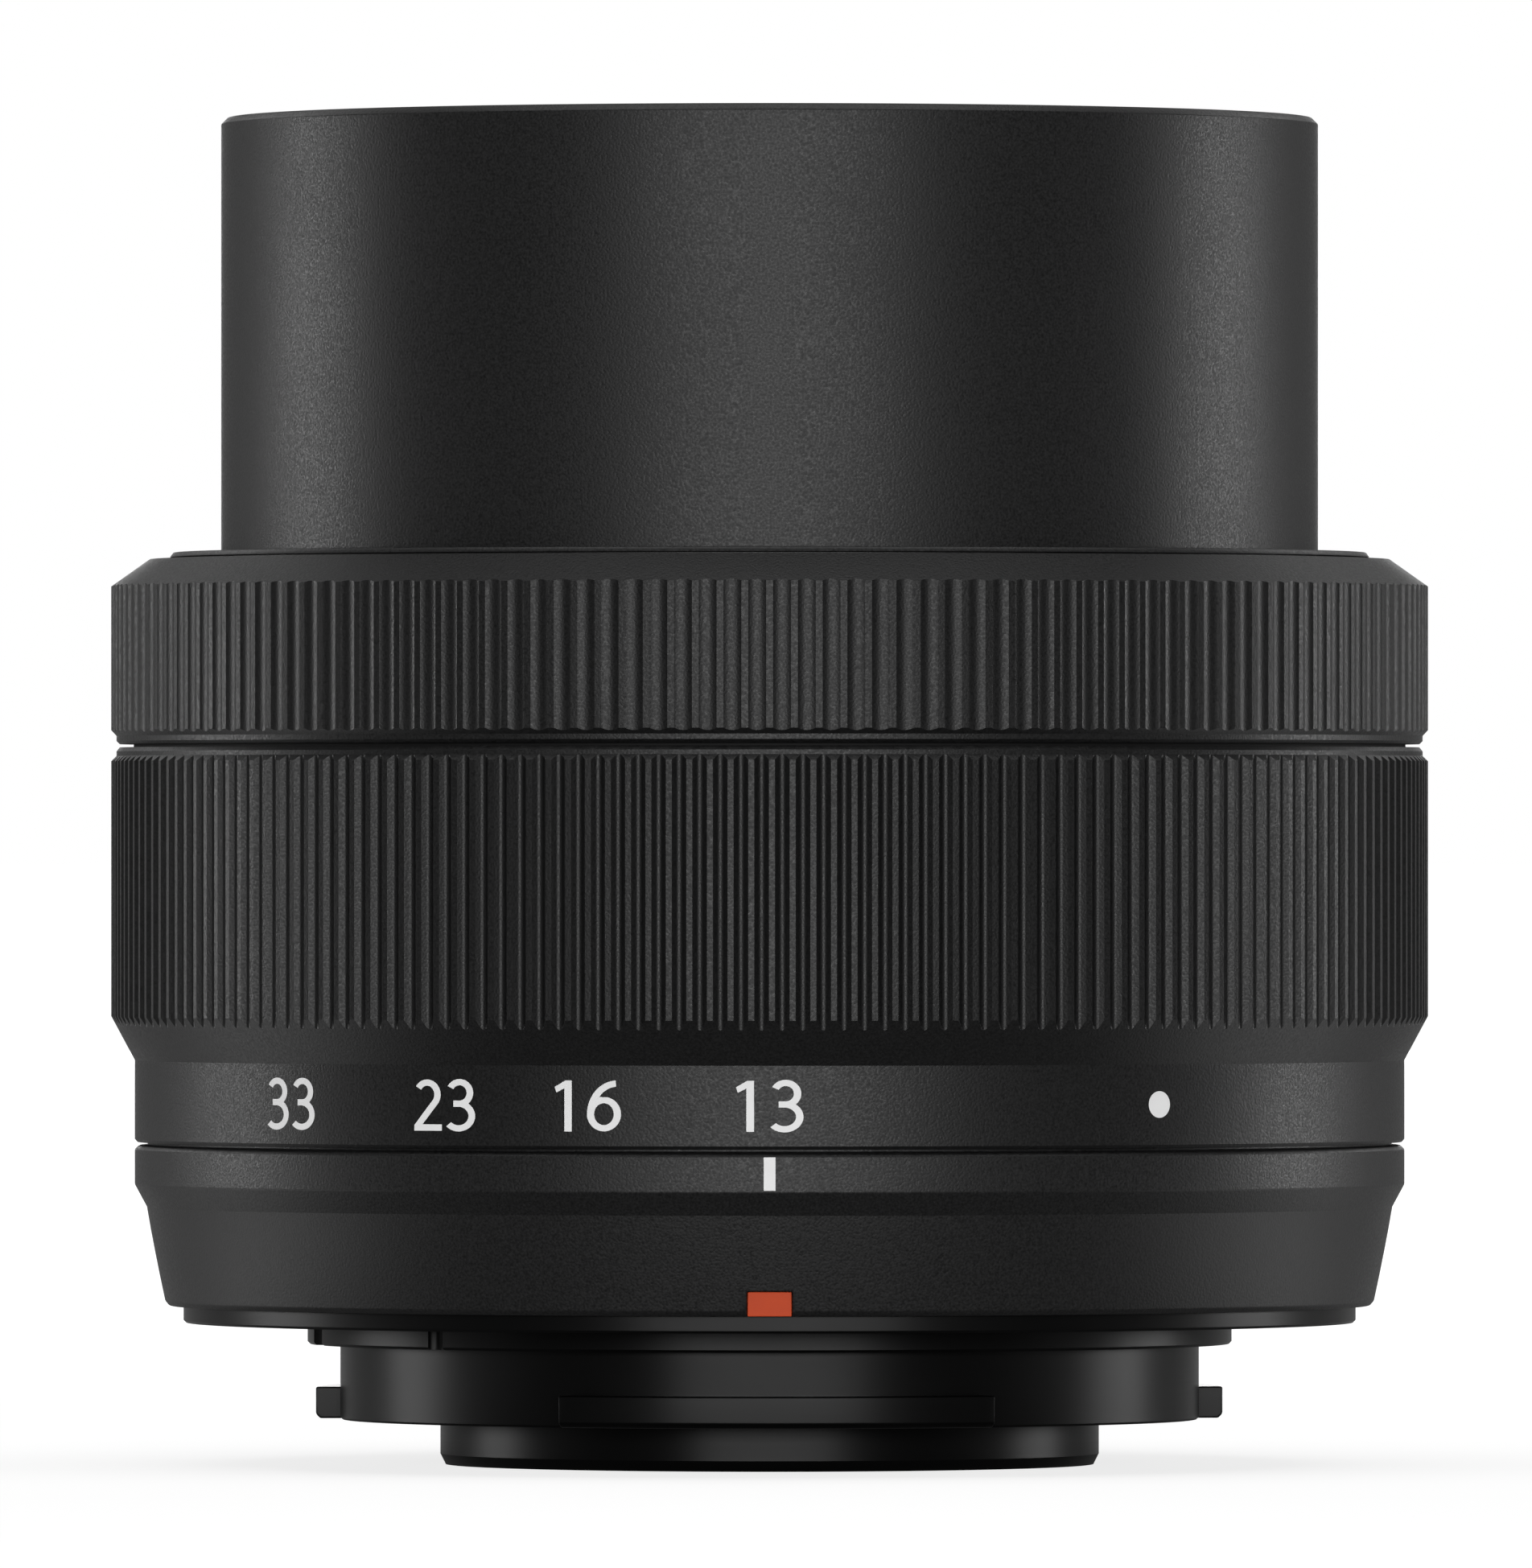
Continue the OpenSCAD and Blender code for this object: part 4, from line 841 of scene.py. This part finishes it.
def painted_pool(centre, inner, outer, level):
    """A painted pool of light: a round patch of the floor that glows in reflections, fading out
    between two radii.
    """
    off = paper.node("ShaderNodeVectorMath", {"operation": "DISTANCE"},
                     {0: paper.place(), 1: centre}, "Value")
    return paper.fade(off, inner, outer, level, FAR_LEVEL)


# painted pools of light, seen only in reflections: both sides, below the strips, and faintly the
# back
painted_light_pools = painted_pool((0.0, 0.15, 0.0), inner=0.09, outer=0.2, level=0.15)
for side in (-1, 1):
    painted_side_pool = painted_pool((side * 0.067, -0.012, 0.0), inner=0.012, outer=0.038, level=2.0)
    painted_light_pools = painted_light_pools.or_more(painted_side_pool)
# painted light: in reflections the floor glows as bright as these pools
glow = paper.node("ShaderNodeEmission", sockets={
    "Color": WHITE_LIGHT, "Strength": seen(paper, painted_light_pools) * pale})
paper.node("ShaderNodeOutputMaterial", sockets={
    "Surface": paper.node("ShaderNodeAddShader", sockets={0: lit, 1: glow})})
floor.data.materials.append(paper.material)

ROOM_LEVEL = 0.17   # what reflections find away from the backdrop
world = bpy.data.worlds.new("studio")
world.use_nodes = True
bpy.context.scene.world = world
sky = Finish("studio", world.node_tree)
fill = sky.node("ShaderNodeBackground", sockets={"Color": WHITE_LIGHT, "Strength": 0.1})
white = sky.node("ShaderNodeBackground", sockets={"Color": WHITE_LIGHT, "Strength": 1.0})
# reflections find the white backdrop behind the lens, and the dimmer room on the other sides
aim = sky.node("ShaderNodeTexCoord", output="Generated")
depth = sky.node("ShaderNodeSeparateXYZ", sockets={0: aim}, output="Y")
card = sky.fade(depth, start=0.96, stop=0.995, first=ROOM_LEVEL, last=1.0)
sky.node("ShaderNodeOutputWorld", sockets={
    "Surface": sky.node("ShaderNodeMixShader", sockets={0: seen(sky, card), 1: fill, 2: white})})


def soft_box(name, place, facing, width, tall, watts):
    """A lamp with a flat rectangular face."""
    clear()
    bpy.ops.object.light_add(type="AREA", location=place)
    box = named(name)
    box.data.shape = "RECTANGLE"
    box.data.size = width
    box.data.size_y = tall
    box.data.energy = watts
    box.rotation_euler = facing


AIM_HEIGHT = 0.025  # height of the lens's middle, which the lamps round it face

# name, turn from the index line, height, distance, width, height of the face, watts
for name, turn, height, distance, width, tall, watts in (
        ("front_box", 0, 0.17, 2.2, 2.0, 0.34, 33.0),
        ("left_strip", -109, 0.055, 0.9, 0.34, 0.11, 1.45),
        ("right_strip", 107, 0.055, 0.9, 0.34, 0.11, 1.55),
        ("back_left_box", -139, 0.55, 1.0, 0.5, 0.4, 1.1),
        ("back_right_box", 139, 0.55, 1.0, 0.5, 0.4, 1.1),
        ("back_box", 180, 0.9, 0.9, 0.8, 0.6, 1.3),
        ("back_strip", 180, 0.17, 2.2, 0.6, 0.34, 2.5)):
    drop = atan2(height - AIM_HEIGHT, distance)
    soft_box(name, on_ring(turn, distance) + (height,), (pi / 2 - drop, 0, radians(turn)),
             width, tall, watts)
soft_box("top_box", (0, -0.1, 1.3), (0, 0, 0), 1.5, 0.8, 9.5)

CAMERA_AWAY = 1.188
CAMERA_HEIGHT = 0.0232
camera_data = bpy.data.cameras.new("camera")
camera = bpy.data.objects.new("camera", camera_data)
bpy.context.scene.collection.objects.link(camera)
camera.location = (0, -CAMERA_AWAY, CAMERA_HEIGHT)
camera.rotation_euler = (pi / 2, 0, 0)
camera_data.sensor_fit = "VERTICAL"
camera_data.sensor_height = 36
camera_data.lens = 580
camera_data.shift_x = -0.0023
camera_data.shift_y = 0.0285
camera_data.clip_end = 100
bpy.context.scene.camera = camera
bpy.context.scene.view_settings.view_transform = "Standard"
